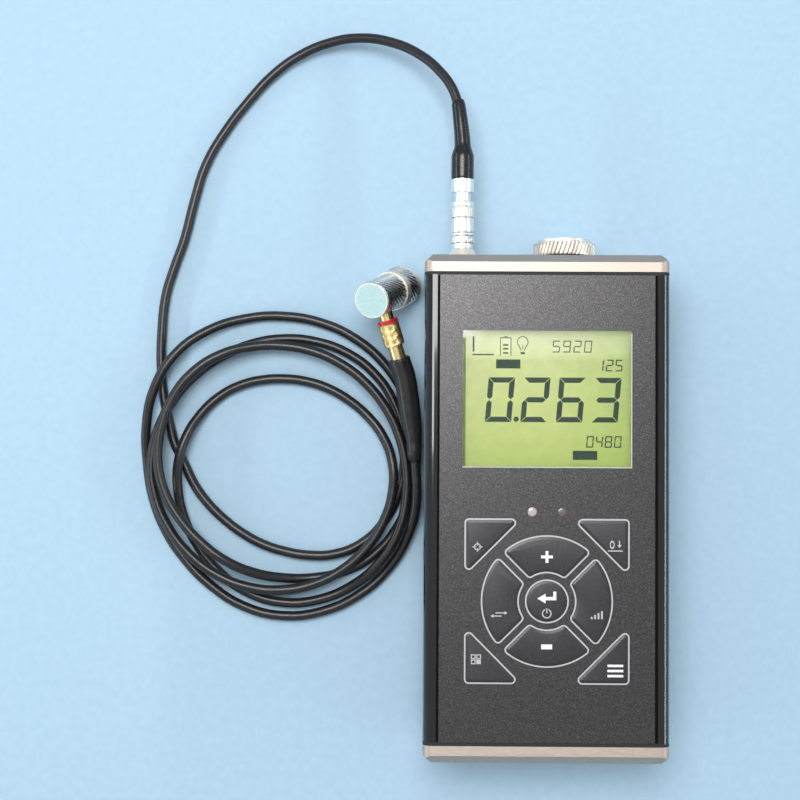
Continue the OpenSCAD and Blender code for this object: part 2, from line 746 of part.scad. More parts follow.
// Display module, from the cell down to the board
cell_w = window_w + 2 * lcd_margin;
cell_h = window_l + 2 * lcd_margin;
light_h = cell_h - 2 * zebra_w - 2 * fit_gap;
module block_at(w, l, z, t) {
    translate([-w / 2, window_y - l / 2, z]) cube([w, l, t]);
}
module lcd_glass() {
    color(lcd_green) block_at(cell_w, cell_h, lcd_z, lcd_t);
}
module lcd_backlight() {
    color("#f0f4d0") block_at(cell_w, light_h, backlight_z, backlight_t);
}
module zebra_strips() {
    color("#2b2b2b") for (s = [-1, 1])
        translate([-cell_w / 2 + zebra_w, window_y + s * (cell_h - zebra_w) / 2 - zebra_w / 2, backlight_z])
            cube([cell_w - 2 * zebra_w, zebra_w, backlight_t]);
}
module lcd_frame() {
    w = cell_w + 2 * fit_gap;
    l = cell_h + 2 * fit_gap;
    color("#232426") difference() {
        block_at(w + 2 * lcd_frame_wall, l + 2 * lcd_frame_wall, backlight_z, backlight_t + lcd_t);
        block_at(w, l, backlight_z - over, backlight_t + lcd_t + 2 * over);
    }
}

module indicator_lamp(side, tint) {
    base = board_z + board_t;
    flange_h = 1;
    tip_z = overlay_z + overlay_t - fit_gap;
    color(tint) translate([side * led_x, led_y, base]) {
        cylinder(h = flange_h, r = led_r + fit_gap * 2, $fn = round_fn);
        cylinder(h = spacer_z - base + spacer_t / 2, r = led_r, $fn = round_fn);
        cylinder(h = tip_z - base, r = led_tip_r, $fn = round_fn);
    }
}

module main_board() {
    color(board_green) difference() {
        translate([-board_w / 2, board_y0, board_z]) cube([board_w, board_l, board_t]);
        for (s = [-1, 1]) tooling_hole(s);
    }
}
// Tooling hole near a corner of the board
module tooling_hole(s) {
    translate([s * (board_w / 2 - 4 * tooling_r), board_y0 + 4 * tooling_r, board_z - over])
        cylinder(h = board_t + 2 * over, r = tooling_r, $fn = round_fn);
}

// Chips on the back of the board, on the side that the battery tube leaves free, and the socket
// for the keypad's tail on its front
module board_chips() {
    color("#222326") {
        for (c = CHIP_SHARES) chip([c[0] * board_w, board_y0 + (0.5 + c[1]) * board_l],
                                   [c[2] * board_w, c[3] * board_l]);
        translate([tail_x, tail_y, board_z + board_t]) difference() {
            centred_block(tail_w + 2 * tail_socket_wall, tail_socket_l, 0, tail_socket_h);
            centred_block(tail_w + 2 * fit_gap, tail_t + 2 * fit_gap, -over, tail_socket_h + 2 * over);
        }
    }
}
module centred_block(w, l, z, h) {
    translate([-w / 2, -l / 2, z]) cube([w, l, h]);
}
module chip(place, size) {
    translate([place[0], place[1], 0]) centred_block(size[0], size[1], board_z - chip_t, chip_t);
}

// Folded tin can over the receiver circuit
module signal_shield() {
    color("#c9c9c4") translate([shield_x - shield_w / 2, shield_y - shield_l / 2, board_z - shield_h])
        difference() {
            cube([shield_w, shield_l, shield_h]);
            translate([shield_wall, shield_wall, shield_wall])
                cube([shield_w - 2 * shield_wall, shield_l - 2 * shield_wall, shield_h]);
        }
}

module battery_tube() {
    color("#3a3d40") difference() {
        rod_y(battery_x, battery_z, tube_end_y - tube_end_t, tube_r, half_l - tube_end_y + tube_end_t);
        rod_y(battery_x, battery_z, tube_end_y, tube_bore_r, half_l - tube_end_y + over);
    }
}

// Cell that lies in the tube with its nub towards the cap
module battery_cell(y) {
    can_l = cell_l - cell_nub_h;
    color("#b58a3c") {
        rod_y(battery_x, battery_z, y, cell_r, can_l);
        rod_y(battery_x, battery_z, y + can_l - over, cell_nub_r, cell_nub_h + over);
    }
}
module battery_outer() {
    battery_cell(contact_y - cell_l);
}
module battery_inner() {
    battery_cell(contact_y - 2 * cell_l);
}

// Coil spring at the closed end of the tube
module battery_spring() {
    y0 = tube_end_y + spring_wire_r;
    rise = spring_l + fit_gap - 2 * spring_wire_r;
    points = [for (k = [0 : spring_turns * spring_steps])
              let (f = k / (spring_turns * spring_steps), a = 360 * k / spring_steps,
                   r = spring_r * (1 - spring_taper_share * f))
              [battery_x + r * cos(a), y0 + rise * f, battery_z + r * sin(a)]];
    color("silver") swept(points, same(spring_wire_r, len(points)), spring_fn, [0, 1, 0]);
}

// Wire from the tube's closed end up to the board
module battery_lead() {
    y = tube_end_y - tube_end_t - 2 * lead_r;
    points = [[battery_x, y + lead_r, battery_z], [battery_x, y, battery_z],
              [battery_x - lead_r, y - lead_r, battery_z + 2 * lead_r],
              [battery_x - 2 * lead_r, y - lead_r, board_z - 2 * lead_r],
              [battery_x - 2 * lead_r, y - lead_r / 2, board_z - lead_r]];
    color("#b02a24") swept_lead(points);
}
module swept_lead(points) {
    for (i = [0 : len(points) - 2]) hull() {
        translate(points[i]) sphere(r = lead_r, $fn = 12);
        translate(points[i + 1]) sphere(r = lead_r, $fn = 12);
    }
}

// Thread stem with a slanted-notch head and a raised face
module battery_cap() {
    notch_r = knob_r * PI / knob_notches;
    stem_l = knob_y - end_y + thread_l;
    color(nickel) difference() {
        union() {
            rod_y(battery_x, battery_z, knob_y - stem_l, thread_r - run_gap, stem_l);
            rod_y(battery_x, battery_z, knob_y, knob_r, knob_h);
            rod_y(battery_x, battery_z, knob_y + knob_h, knob_r, knob_face_h, knob_r - knob_face_h);
        }
        for (k = [0 : knob_notches - 1])
            translate([battery_x, 0, battery_z]) rotate([0, 360 * k / knob_notches, 0])
                translate([knob_r + notch_r * 0.45, knob_y - over, 0]) rotate([-90, 0, 0])
                    cylinder(h = knob_h + over, r = notch_r * 0.7, $fn = 6);
        rod_y(battery_x, battery_z, knob_y - stem_l - over, contact_boss_r + run_gap, stem_l / 2 + over);
    }
}

// Sprung brass disc in the cap that stays still on the cell while the cap turns
module battery_contact() {
    stem_l = knob_y - end_y + thread_l;
    color(gold) {
        rod_y(battery_x, battery_z, contact_y, thread_r * 0.85, contact_t - run_gap);
        rod_y(battery_x, battery_z, contact_y, contact_boss_r, contact_t + stem_l / 2 - fit_gap);
    }
}
module battery_cap_seal() {
    color(rubber_black) translate([battery_x, end_y + seal_ring_r + seal_gap, battery_z]) rotate([-90, 0, 0])
        rotate_extrude($fn = round_fn) translate([thread_r + seal_ring_r, 0])
            circle(r = seal_ring_r, $fn = corner_fn);
}

// Socket: threaded barrel through the end cap, with its flange behind it
module probe_socket() {
    flange_y = seal_y - socket_flange_t;
    color(nickel) difference() {
        union() {
            rod_y(socket_x, socket_z, flange_y, socket_r, end_y + barrel_out - flange_y);
            rod_y(socket_x, socket_z, flange_y, socket_flange_r, socket_flange_t);
            rod_y(socket_x, socket_z, bore_y - socket_tail_l, socket_tail_r + socket_tail_wall,
                  flange_y - bore_y + socket_tail_l);
        }
        rod_y(socket_x, socket_z, bore_y, socket_bore_r, socket_depth + over);
        rod_y(socket_x, socket_z, bore_y - socket_tail_l - over, socket_tail_r, socket_tail_l + 2 * over);
    }
}
module socket_nut() {
    color(nickel) difference() {
        rod_y(socket_x, socket_z, end_y, socket_nut_r, socket_nut_h, nut_top_r);
        rod_y(socket_x, socket_z, end_y - over, socket_r + run_gap, barrel_out + run_gap + over);
        rod_y(socket_x, socket_z, end_y, socket_bore_r, socket_nut_h + over);
    }
}
module socket_insulator() {
    color("#e8e4da")
        rod_y(socket_x, socket_z, bore_y - socket_tail_l, socket_tail_r - run_gap, socket_tail_l);
}
module signal_lead() {
    y = bore_y - socket_tail_l;
    points = [[socket_x, y - lead_r, socket_z], [socket_x, y - 3 * lead_r, socket_z],
              [socket_x, y - 6 * lead_r, socket_z + 2 * lead_r],
              [socket_x, y - 8 * lead_r, board_z - 2 * lead_r],
              [socket_x, y - 8 * lead_r - lead_r / 2, board_z - lead_r]];
    color("#222222") swept_lead(points);
}

// Plug: front tube in the socket, a ring, and a core that runs on to the collet nut's thread
module plug_body() {
    color("#e9e9ea") {
        rod_y(socket_x, socket_z, plug_y - 2 * fit_gap - plug_front_l, plug_front_r,
              plug_front_l + 3 * fit_gap);
        rod_y(socket_x, socket_z, plug_y, plug_r, ring_l);
        rod_y(socket_x, socket_z, plug_y, core_r, collet_y + collet_thread_l - plug_y);
    }
}

// Two knurled bands on a smooth sleeve, which slides back to release the plug
module plug_sleeve() {
    band_l = sleeve_l * sleeve_band_share;
    notch_r = sleeve_r * PI / sleeve_notches;
    color("#dfe0e2") difference() {
        union() {
            rod_y(socket_x, socket_z, sleeve_y, plug_r, sleeve_l);
            rod_y(socket_x, socket_z, sleeve_y, sleeve_r, band_l);
            rod_y(socket_x, socket_z, sleeve_y + sleeve_l - 1.6 * band_l, sleeve_r, 0.9 * band_l);
        }
        rod_y(socket_x, socket_z, sleeve_y - over, core_r + run_gap, sleeve_l + 2 * over);
        for (y = [sleeve_y + band_l / 2, sleeve_y + sleeve_l - band_l / 2]) sleeve_groove(y);
        for (k = [0 : sleeve_notches - 1]) translate([socket_x, sleeve_y - over, socket_z])
            rotate([0, 360 * k / sleeve_notches, 0]) translate([sleeve_r + 0.6 * notch_r, 0, 0])
                rotate([-90, 0, 0]) cylinder(h = sleeve_l + 2 * over, r = 0.8 * notch_r, $fn = 4);
    }
}
module sleeve_groove(y) {
    difference() {
        rod_y(socket_x, socket_z, y, sleeve_r + over, groove_w);
        rod_y(socket_x, socket_z, y - over, plug_r - groove_depth, groove_w + 2 * over);
    }
}
module plug_collet_nut() {
    color("#e9e9ea") difference() {
        rod_y(socket_x, socket_z, collet_y, collet_r, collet_l);
        rod_y(socket_x, socket_z, collet_y - over, core_r + run_gap, collet_thread_l + over);
    }
}

// Moulded bend relief that narrows to a sleeve on the cord
module plug_relief() {
    start = [socket_x, relief_y, socket_z];
    points = [start, start + [0, relief_l, 0], start + [0, relief_l + relief_taper_l, 0],
              LEAD_START + [0.25, -2.2, 0.1] * cord_d, LEAD_START - seam * unit(LEAD_PLACES[0] - LEAD_START),
              LEAD_START];
    color(rubber_black) swept(points, [relief_r, relief_r, relief_neck_r, relief_neck_r * relief_neck_share,
                                       relief_tip_r, relief_tip_r], relief_fn);
}

module cord_lead() {
    color("#2b2a2b") swept(LEAD_LINE, same(cord_d / 2, len(LEAD_LINE)), lead_fn);
}
module cord_coil() {
    color("#2b2a2b") swept(COIL_ROUTE, same(cord_d / 2, len(COIL_ROUTE)), coil_fn);
}

// Frame of the probe: its axis leans, and the jack leaves it square, downhill
module in_probe() {
    translate(PROBE_FOOT) rotate([0, 0, probe_lean]) rotate([0, probe_tilt, 0]) children();
}
module in_jack() {
    in_probe() translate([0, 0, jack_t]) rotate([0, 0, jack_turn]) rotate([0, 90, 0]) children();
}
function jack_dir() =
    let (u = [cos(probe_tilt) * cos(probe_lean), cos(probe_tilt) * sin(probe_lean), -sin(probe_tilt)],
         v = [-sin(probe_lean), cos(probe_lean), 0])
    cos(jack_turn) * u + sin(jack_turn) * v;
function on_jack(l) = PROBE_FOOT + jack_t * PROBE_AXIS + l * jack_dir();

// Round bar with straight notches that start at a plain rim and stop short of the other end
module notched(r, l, count, rim = knurl_edge) {
    difference() {
        cylinder(h = l, r = r, $fn = round_fn);
        for (k = [0 : count - 1]) rotate([0, 0, 360 * k / count])
            translate([r + 0.6 * knurl_depth, 0, rim]) rotate([0, 0, 45])
                cylinder(h = l - rim - knurl_edge, r = 1.6 * knurl_depth, $fn = 4);
    }
}

module delay_line() {
    color("#d9a441") in_probe() cylinder(h = delay_l, r = delay_r, $fn = round_fn);
}
module delay_ring() {
    color(steel) in_probe() translate([0, 0, delay_ring_t]) difference() {
        notched(delay_ring_r, delay_ring_l, ring_knurls, ring_rim_l);
        translate([0, 0, -over]) cylinder(h = delay_ring_l + 2 * over, r = delay_r + run_gap, $fn = round_fn);
    }
}
module probe_collar() {
    color("#d6d5d2") in_probe() translate([0, 0, collar_at]) difference() {
        cylinder(h = collar_t, r = collar_r, $fn = round_fn);
        translate([0, 0, -over]) cylinder(h = collar_t + 2 * over, r = delay_r + run_gap, $fn = round_fn);
    }
}
module probe_crystal() {
    color("#c8b890") in_probe() translate([0, 0, delay_l + run_gap])
        cylinder(h = crystal_t, r = delay_r - run_gap, $fn = round_fn);
}
module probe_backing() {
    z = max(case_at, delay_l + crystal_t + run_gap);
    color("#3b4a63") in_probe() translate([0, 0, delay_l + crystal_t + run_gap])
        cylinder(h = z + backing_l - delay_l - crystal_t, r = delay_r - run_gap, $fn = round_fn);
}
module probe_case() {
    color(steel) in_probe() difference() {
        translate([0, 0, case_at]) notched(probe_r, probe_l, probe_knurls);
        translate([0, 0, case_at - over])
            cylinder(h = probe_l - probe_wall + over, r = probe_r - probe_wall, $fn = round_fn);
        translate([0, 0, jack_t]) rotate([0, 0, jack_turn]) rotate([0, 90, 0])
            cylinder(h = probe_r + over, r = jack_r, $fn = round_fn);
    }
}
module probe_disc() {
    color("#d4eef0") in_probe() translate([0, 0, disc_at]) cylinder(h = disc_t, r = disc_r, $fn = round_fn);
}
module probe_jack() {
    color(gold) in_jack() translate([0, 0, delay_r + fit_gap])
        cylinder(h = jack_l - delay_r - fit_gap, r = jack_r - run_gap, $fn = round_fn);
}

// Gold screw-on connector: a red ring and a knurled nut that turn on the plug body
module connector_ring() {
    color("#d8102f") in_jack() translate([0, 0, connector_at]) difference() {
        cylinder(h = red_ring_t, r = nut_r, $fn = round_fn);
        translate([0, 0, -over]) cylinder(h = red_ring_t + 2 * over, r = jack_r, $fn = round_fn);
    }
}
module connector_nut() {
    color(gold) in_jack() translate([0, 0, nut_at]) difference() {
        notched(nut_r, nut_l, nut_knurls);
        translate([0, 0, -over]) cylinder(h = nut_l + 2 * over, r = jack_r, $fn = round_fn);
    }
}
module connector_body() {
    color(gold) in_jack() {
        translate([0, 0, jack_l + fit_gap])
            cylinder(h = crimp_at + over - jack_l - fit_gap, r = jack_r - run_gap, $fn = round_fn);
        translate([0, 0, crimp_at]) cylinder(h = crimp_l, r = crimp_r, $fn = round_fn);
    }
}

// Heat-shrink boot over the crimp, which narrows and bends down to the cord
module probe_boot() {
    route = concat([on_jack(boot_at), on_jack(boot_at + crimp_r / 2)], BOOT_BENDS,
                   [COIL_END + seam * coil_out, COIL_END]);
    tip_r = cord_d / 2 + boot_tip_wall;
    radii = concat(boot_r * BOOT_RADIUS_SHARES, [tip_r, tip_r]);
    color(rubber_black) difference() {
        swept(route, radii, boot_fn);
        in_jack() cylinder(h = crimp_at + crimp_l, r = crimp_r + run_gap, $fn = round_fn);
    }
}

housing();
top_end_cap();
bottom_end_cap();
top_gasket();
bottom_gasket();
cap_screws(1);  // top_cap_screws
cap_screws(-1);  // bottom_cap_screws
keypad_overlay();
keypad_spacer();
keypad_circuit();
tactile_domes();
key("key_plus");  // key_plus
key("key_minus");  // key_minus
key("key_scan");  // key_scan
key("key_gain");  // key_gain
key("key_enter");  // key_enter
key("key_target");  // key_target
key("key_zero");  // key_zero
key("key_mode");  // key_mode
key("key_menu");  // key_menu
display_window();
lcd_glass();
lcd_backlight();
lcd_frame();
zebra_strips();
indicator_lamp(-1, "#f2f4f5");  // led_left
indicator_lamp(1, "#7a6f8c");  // led_right
main_board();
board_chips();
signal_shield();
battery_tube();
battery_outer();
battery_inner();
battery_spring();
battery_lead();
battery_cap();
battery_contact();
battery_cap_seal();
probe_socket();
socket_nut();
socket_insulator();
signal_lead();
plug_body();
plug_sleeve();
plug_collet_nut();
plug_relief();
cord_lead();
cord_coil();
probe_boot();
connector_body();
connector_nut();
connector_ring();
probe_jack();
probe_case();
probe_disc();
probe_collar();
delay_ring();
delay_line();
probe_crystal();
probe_backing();
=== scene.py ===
# %% [markdown]
# A hand-held ultrasonic thickness gauge lies on its back on a pale floor, with its coiled lead and
# contact probe beside it. The case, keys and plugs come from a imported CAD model. This script dresses
# that model: it adds the parts that CAD keeps plain, such as the cord, the knurled battery cap and the
# display's figures, and gives every surface a procedural material.

# %% Load the CAD model
import math

import bmesh
import bpy
from mathutils import Matrix, Vector


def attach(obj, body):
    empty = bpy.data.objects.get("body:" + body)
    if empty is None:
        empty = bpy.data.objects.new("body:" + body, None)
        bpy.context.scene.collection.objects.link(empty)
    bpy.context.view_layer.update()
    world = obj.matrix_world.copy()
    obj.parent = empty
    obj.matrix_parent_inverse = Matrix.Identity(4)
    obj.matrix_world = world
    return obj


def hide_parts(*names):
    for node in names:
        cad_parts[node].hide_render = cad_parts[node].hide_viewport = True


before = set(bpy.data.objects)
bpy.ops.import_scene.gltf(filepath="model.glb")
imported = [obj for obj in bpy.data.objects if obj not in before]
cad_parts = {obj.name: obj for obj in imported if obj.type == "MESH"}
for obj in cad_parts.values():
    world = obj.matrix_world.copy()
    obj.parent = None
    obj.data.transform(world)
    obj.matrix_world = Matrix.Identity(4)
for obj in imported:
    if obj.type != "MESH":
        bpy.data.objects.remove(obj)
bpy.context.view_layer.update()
MM = 0.001


# %% [markdown]
# The camera comes first. It looks almost straight down from 40 cm, a little left of the case, with a
# lens of 64 mm on a 36 mm sensor. These values were fitted to the case's corners in the photograph.

# %% Camera
camera = bpy.data.objects.new("camera", bpy.data.cameras.new("camera"))
bpy.context.scene.collection.objects.link(camera)
camera.location = (-0.0346, 0.0181, 0.3988)
camera.rotation_euler = (0.0260, 0.0092, 0.0055)
camera.data.lens = 64.09
camera.data.sensor_width = 36
camera.data.clip_start = 0.01
bpy.context.scene.camera = camera
print("camera at", tuple(camera.location))


# %% [markdown]
# The cord is a satin PVC cable of 2.7 mm, 1.15 m from the plug to the probe. It leaves the plug's bend
# relief, swings down to the floor and lies in a loose coil of four and a half turns. One Bezier curve
# follows the same points as the CAD solids: the coil is a radius at each eighth of a turn round one
# centre, and it climbs a little over a strand's height before it crosses another strand.

# %% Route of the cord, in millimetres
CORD_D = 2.7
LEAD_POINTS = [
    (-23, 109, 14.6),
    (-24.5, 113, 14), (-27.5, 117.5, 12.8), (-33, 122.8, 10.6), (-41, 127, 8.2),
    (-50, 128.8, 6), (-58.5, 128, 4), (-67, 124.8, 2.4), (-74.5, 119.5, 1.6), (-81, 112.5, 1.35),
    (-87.5, 104, 1.35), (-93.2, 94, 1.35), (-96.4, 83.5, 1.35), (-99, 73, 1.35),
    (-101.8, 65, 1.35), (-104.1, 57, 1.35), (-105.1, 46, 1.35), (-105.2, 39, 1.35),
    (-104.5, 30, 1.35), (-102.3, 20, 1.35),
]
COIL_CENTRE = (-70.7, 10.7)
COIL_RADIUS = 34
COIL_RADIUS_SHARES = [  # one for each eighth of a turn, with one more before the start and after the end
    1.15,
    0.82, 0.67, 0.72, 0.92, 0.99, 1.045, 1.02, 1.01,
    1.07, 1.06, 1.03, 0.97, 0.895, 0.74, 0.69, 0.76,
    0.85, 0.98, 1.14, 1.13, 1, 0.94, 0.955, 1.03,
    1, 0.91, 0.935, 1.055, 1.085, 1.16, 1.205, 1.25,
    1.12, 1.13, 1.25, 1.22, 1.08,
    0.97,
]
COIL_CLIMBS = [  # first and last eighth of a turn, and the levels climbed between them
    (6.5, 7.1, 1), (11.9, 12.6, -1), (15, 15.8, 1), (16, 16.6, -1), (18.5, 19.2, 1),
    (22, 22.9, 1), (25.2, 26.4, -2), (30.3, 31, 1), (31.5, 31.9, -1), (35, 35.9, 1.8),
]
LEVEL = 3.2
COIL_EIGHTHS = 36
POINTS_PER_EIGHTH = 3


def between(a, b, c, d, f):
    """Smooth curve through four neighbouring values, at share f between the middle two."""
    return (2 * b + (c - a) * f + (2 * a - 5 * b + 4 * c - d) * f ** 2 + (3 * b - a - 3 * c + d) * f ** 3) / 2


def coil_point(s):
    """Point of the coil's centre line at s eighths of a turn."""
    i = min(int(s), COIL_EIGHTHS - 1)
    radius = COIL_RADIUS * between(*COIL_RADIUS_SHARES[i:i + 4], s - i)
    level = 0
    for first, last, climb in COIL_CLIMBS:
        f = min(max((s - first) / (last - first), 0), 1)
        level += climb * f * f * (3 - 2 * f)
    angle = math.radians(180 + 45 * s)
    return Vector((COIL_CENTRE[0] + radius * math.cos(angle), COIL_CENTRE[1] + radius * math.sin(angle),
                   CORD_D / 2 + LEVEL * level))


coil = [coil_point(k / POINTS_PER_EIGHTH) for k in range(COIL_EIGHTHS * POINTS_PER_EIGHTH + 1)]
step_in, step_out = (coil[1] - coil[0]).normalized(), (coil[-1] - coil[-2]).normalized()
coil_start, coil_end = coil[0] - CORD_D * step_in, coil[-1] + CORD_D * step_out
route = [Vector(p) for p in LEAD_POINTS] + [coil_start - CORD_D * step_in, coil_start, *coil, coil_end]
print("cord points", len(route), "length mm", round(sum((b - a).length for a, b in zip(route, route[1:]))))


# %% [markdown]
# One function lays a round tube along such a list of points. The cord, the bend relief and the boot
# all come from it, because a curve keeps them smooth with few points.

# %% Curve that follows a route


def tube_along(name, points, radii):
    """Round tube through points in millimetres, with a radius at each. The bevel is one metre deep and
    each point scales it to its own radius, so that the curve's box is the tube's."""
    curve = bpy.data.curves.new(name, "CURVE")
    curve.dimensions = "3D"
    curve.bevel_depth = 1
    curve.bevel_resolution = 5
    curve.resolution_u = 4
    curve.use_fill_caps = True
    spline = curve.splines.new("BEZIER")
    spline.bezier_points.add(len(points) - 1)
    for handle, point, radius in zip(spline.bezier_points, points, radii):
        handle.co = Vector(point) * MM
        handle.handle_left_type = handle.handle_right_type = "AUTO"
        handle.radius = radius * MM
    tube = bpy.data.objects.new(name, curve)
    bpy.context.scene.collection.objects.link(tube)
    return tube


cord = tube_along("coiled_cord", route, [CORD_D / 2] * len(route))
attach(cord, "root")
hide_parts("cord_lead", "cord_coil")
print("cord made")


# %% [markdown]
# Two sleeves meet the cord. The plug's bend relief is a thick moulded tube that steps down behind its
# collar and then tapers. The probe's boot is heat-shrink tubing that was shrunk over a gold crimp, so it
# keeps a soft shoulder and tapers down to the cord. Both are curves with a radius at each point.

# %% Bend relief and heat-shrink boot
PLUG_AXIS = (-21.6, 15.7)
RELIEF_Y = 87.55
relief_route = [(PLUG_AXIS[0], RELIEF_Y + along, PLUG_AXIS[1]) for along in (0, 0.4, 3.5, 6.6, 9.2)]
relief_route += [(-21.8, 100, 15.5), (-22.3, 104.5, 15.2), (-22.85, 108.6, 14.7), LEAD_POINTS[0]]
RELIEF_RADII = [2.9, 3.05, 3.05, 3.05, 2.2, 2.1, 2.0, 1.85, 1.7]
relief = tube_along("bend_relief", relief_route, RELIEF_RADII)
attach(relief, "root")
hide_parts("plug_relief")

PROBE_TILT, PROBE_LEAN, JACK_TURN = math.radians(29.2), math.radians(216.9), math.radians(67.5)
PROBE_FOOT = Vector((-37.53, 60.55, 2.296))
JACK_T = 15.7  # from the probe's foot to the jack, along the probe
BOOT_POINTS = [(-36.95, 34.4, 11.5), (-36.2, 30, 10.6), (-35.5, 25, 9.6), (-34.8, 20.5, 8.8),
               (-34.4, 17, 8.4)]
BOOT_RADII = [2.75, 3, 3.02, 3.0, 2.98, 2.92, 2.6, 2.1, 1.72, 1.6]
probe_turn = Matrix.Rotation(PROBE_LEAN, 3, "Z") @ Matrix.Rotation(PROBE_TILT, 3, "Y")
probe_axis = probe_turn @ Vector((0, 0, 1))
jack_axis = probe_turn @ Matrix.Rotation(JACK_TURN, 3, "Z") @ Vector((1, 0, 0))


def on_jack(along):
    """Point on the axis of the probe's connector, in millimetres."""
    return PROBE_FOOT + JACK_T * probe_axis + along * jack_axis


boot_route = [on_jack(along) for along in (17.5, 17.9, 18.6)] + [*BOOT_POINTS, coil_end - 1.1 * step_out,
                                                                 coil_end]
boot = tube_along("heat_shrink_boot", boot_route, BOOT_RADII)
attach(boot, "root")
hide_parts("probe_boot")
print("connector axis", tuple(round(x, 4) for x in jack_axis))


# %% [markdown]
# Materials share one way of working. Colours are written as sRGB hex and turned to linear by one
# function. A second small function adds a node, with its settings and the sockets that it takes its
# values from. Patterns read Object coordinates, so a size in millimetres becomes a noise scale.

# %% Colour and node helpers
NOISE_SPAN = (0.3, 0.7)  # most of a noise texture's values lie between these


def linear(hex_colour):
    """sRGB hex to linear red, green, blue and alpha."""
    values = [int(hex_colour[i:i + 2], 16) / 255 for i in (1, 3, 5)]
    return [v / 12.92 if v <= 0.04045 else ((v + 0.055) / 1.055) ** 2.4 for v in values] + [1]


def per_mm(size):
    """Noise scale for a pattern of this size in millimetres, on coordinates in metres."""
    return 1 / (size * MM)


def node(tree, kind, inputs=None, **settings):
    """Adds a node. inputs gives a value or another node's output for each socket."""
    made = tree.nodes.new(kind)
    for name, value in settings.items():
        setattr(made, name, value)
    for name, value in (inputs or {}).items():
        if isinstance(value, bpy.types.NodeSocket):
            tree.links.new(value, made.inputs[name])
        else:
            made.inputs[name].default_value = value
    return made


def finish(name, dark, light, rough, grain=0.4, stretch=(1, 1, 1), bump=0.0, detail=4, **sockets):
    """Material whose colour and roughness drift between two values over a grain of this many mm.
    bump is the depth of its relief in mm, and sockets are constants on the shader."""
    made = bpy.data.materials.new(name)
    made.use_nodes = True
    tree = made.node_tree
    shader = tree.nodes["Principled BSDF"]
    where = node(tree, "ShaderNodeTexCoord").outputs["Object"]
    mapped = node(tree, "ShaderNodeMapping", {"Vector": where, "Scale": stretch})
    noise = node(tree, "ShaderNodeTexNoise", {"Vector": mapped.outputs["Vector"], "Scale": per_mm(grain),
                                              "Detail": detail, "Roughness": 0.6})
    shade = node(tree, "ShaderNodeValToRGB", {"Fac": noise.outputs["Fac"]})
    shade.color_ramp.elements[0].position, shade.color_ramp.elements[1].position = NOISE_SPAN
    shade.color_ramp.elements[0].color, shade.color_ramp.elements[1].color = linear(dark), linear(light)
    tree.links.new(shade.outputs["Color"], shader.inputs["Base Color"])
    gloss = node(tree, "ShaderNodeMapRange", {
        "Value": noise.outputs["Fac"], "From Min": NOISE_SPAN[0], "From Max": NOISE_SPAN[1],
        "To Min": rough[0], "To Max": rough[1]})
    tree.links.new(gloss.outputs["Result"], shader.inputs["Roughness"])
    if bump:
        relief_node = node(tree, "ShaderNodeBump", {"Height": noise.outputs["Fac"], "Distance": bump * MM,
                                                    "Strength": 1.0})
        tree.links.new(relief_node.outputs["Normal"], shader.inputs["Normal"])
    for socket, value in sockets.items():
        shader.inputs[socket.replace("_", " ")].default_value = value
    return made


def dress(material, *names):
    """Gives CAD nodes or new pieces their material."""
    for name in names:
        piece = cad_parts.get(name) or bpy.data.objects[name]
        piece.data.materials.clear()
        piece.data.materials.append(material)


def piece_from(name, bm, *materials):
    """New piece from a bmesh that is drawn in metres."""
    mesh = bpy.data.meshes.new(name)
    bm.to_mesh(mesh)
    bm.free()
    for material in materials:
        mesh.materials.append(material)
    piece = bpy.data.objects.new(name, mesh)
    bpy.context.scene.collection.objects.link(piece)
    return piece


print("helpers ready")


# %% [markdown]
# The case is extruded aluminium, polished and anodised black. The oxide is a clear glossy skin over
# metal, so the shader is half metallic with a coat, and faint draw lines run along the extrusion.

# %% Case: black anodised aluminium
anodised = finish("black_anodised_aluminium", "#0b0c0e", "#141518", (0.1, 0.16), grain=0.5,
                  stretch=(1, 0.02, 1), bump=0.001, Metallic=0.5, Coat_Weight=0.8, Coat_Roughness=0.05)
dress(anodised, "housing")
print(anodised.name)


# %% [markdown]
# The end caps are milled aluminium with a satin nickel plating. Nickel is a warm grey metal. Milling
# leaves fine lines across the width, drawn here at 0.12 mm so that they show. The plug is turned brass
# under a brighter nickel, and the cap screws are zinc plated steel.

# %% End caps, plug and screws
nickel = finish("satin_nickel_plating", "#b5a59b", "#d3c4b8", (0.44, 0.6), grain=0.12,
                stretch=(0.08, 1, 1), bump=0.0015, Metallic=1.0)
dress(nickel, "top_end_cap", "bottom_end_cap")
bright_nickel = finish("bright_nickel_on_brass", "#efeeea", "#fcfbf8", (0.34, 0.44), grain=0.3,
                       stretch=(1, 6, 1), bump=0.002, Metallic=1.0)
dress(bright_nickel, "plug_body", "plug_collet_nut")
screw_steel = finish("zinc_plated_screw_steel", "#7d7f80", "#a9abab", (0.28, 0.42), grain=0.4, bump=0.004,
                     Metallic=1.0)
dress(screw_steel, "top_cap_screws", "bottom_cap_screws")
print(nickel.name, bright_nickel.name, screw_steel.name)


# %% [markdown]
# The gaskets are pressed nitrile rubber: nearly black, matt, with a fine talc bloom.

# %% Gaskets: nitrile rubber
rubber = finish("pressed_nitrile_rubber", "#131314", "#2a292b", (0.6, 0.85), grain=0.25, bump=0.012)
dress(rubber, "top_gasket", "bottom_gasket", "battery_cap_seal", "zebra_strips")
print(rubber.name)


# %% [markdown]
# The keypad is one printed polyester film. Its charcoal ink holds aluminium flakes, which glint as
# single bright points. Voronoi cells of 0.13 mm stand for the flakes, which are finer on the real film,
# and only the cells with the highest random values turn lighter.

# %% Keypad film: charcoal ink with aluminium flakes
FLAKE_SIZE = 0.13
FLAKE_COVER = 0.22  # share of the flake's colour in the brightest cells


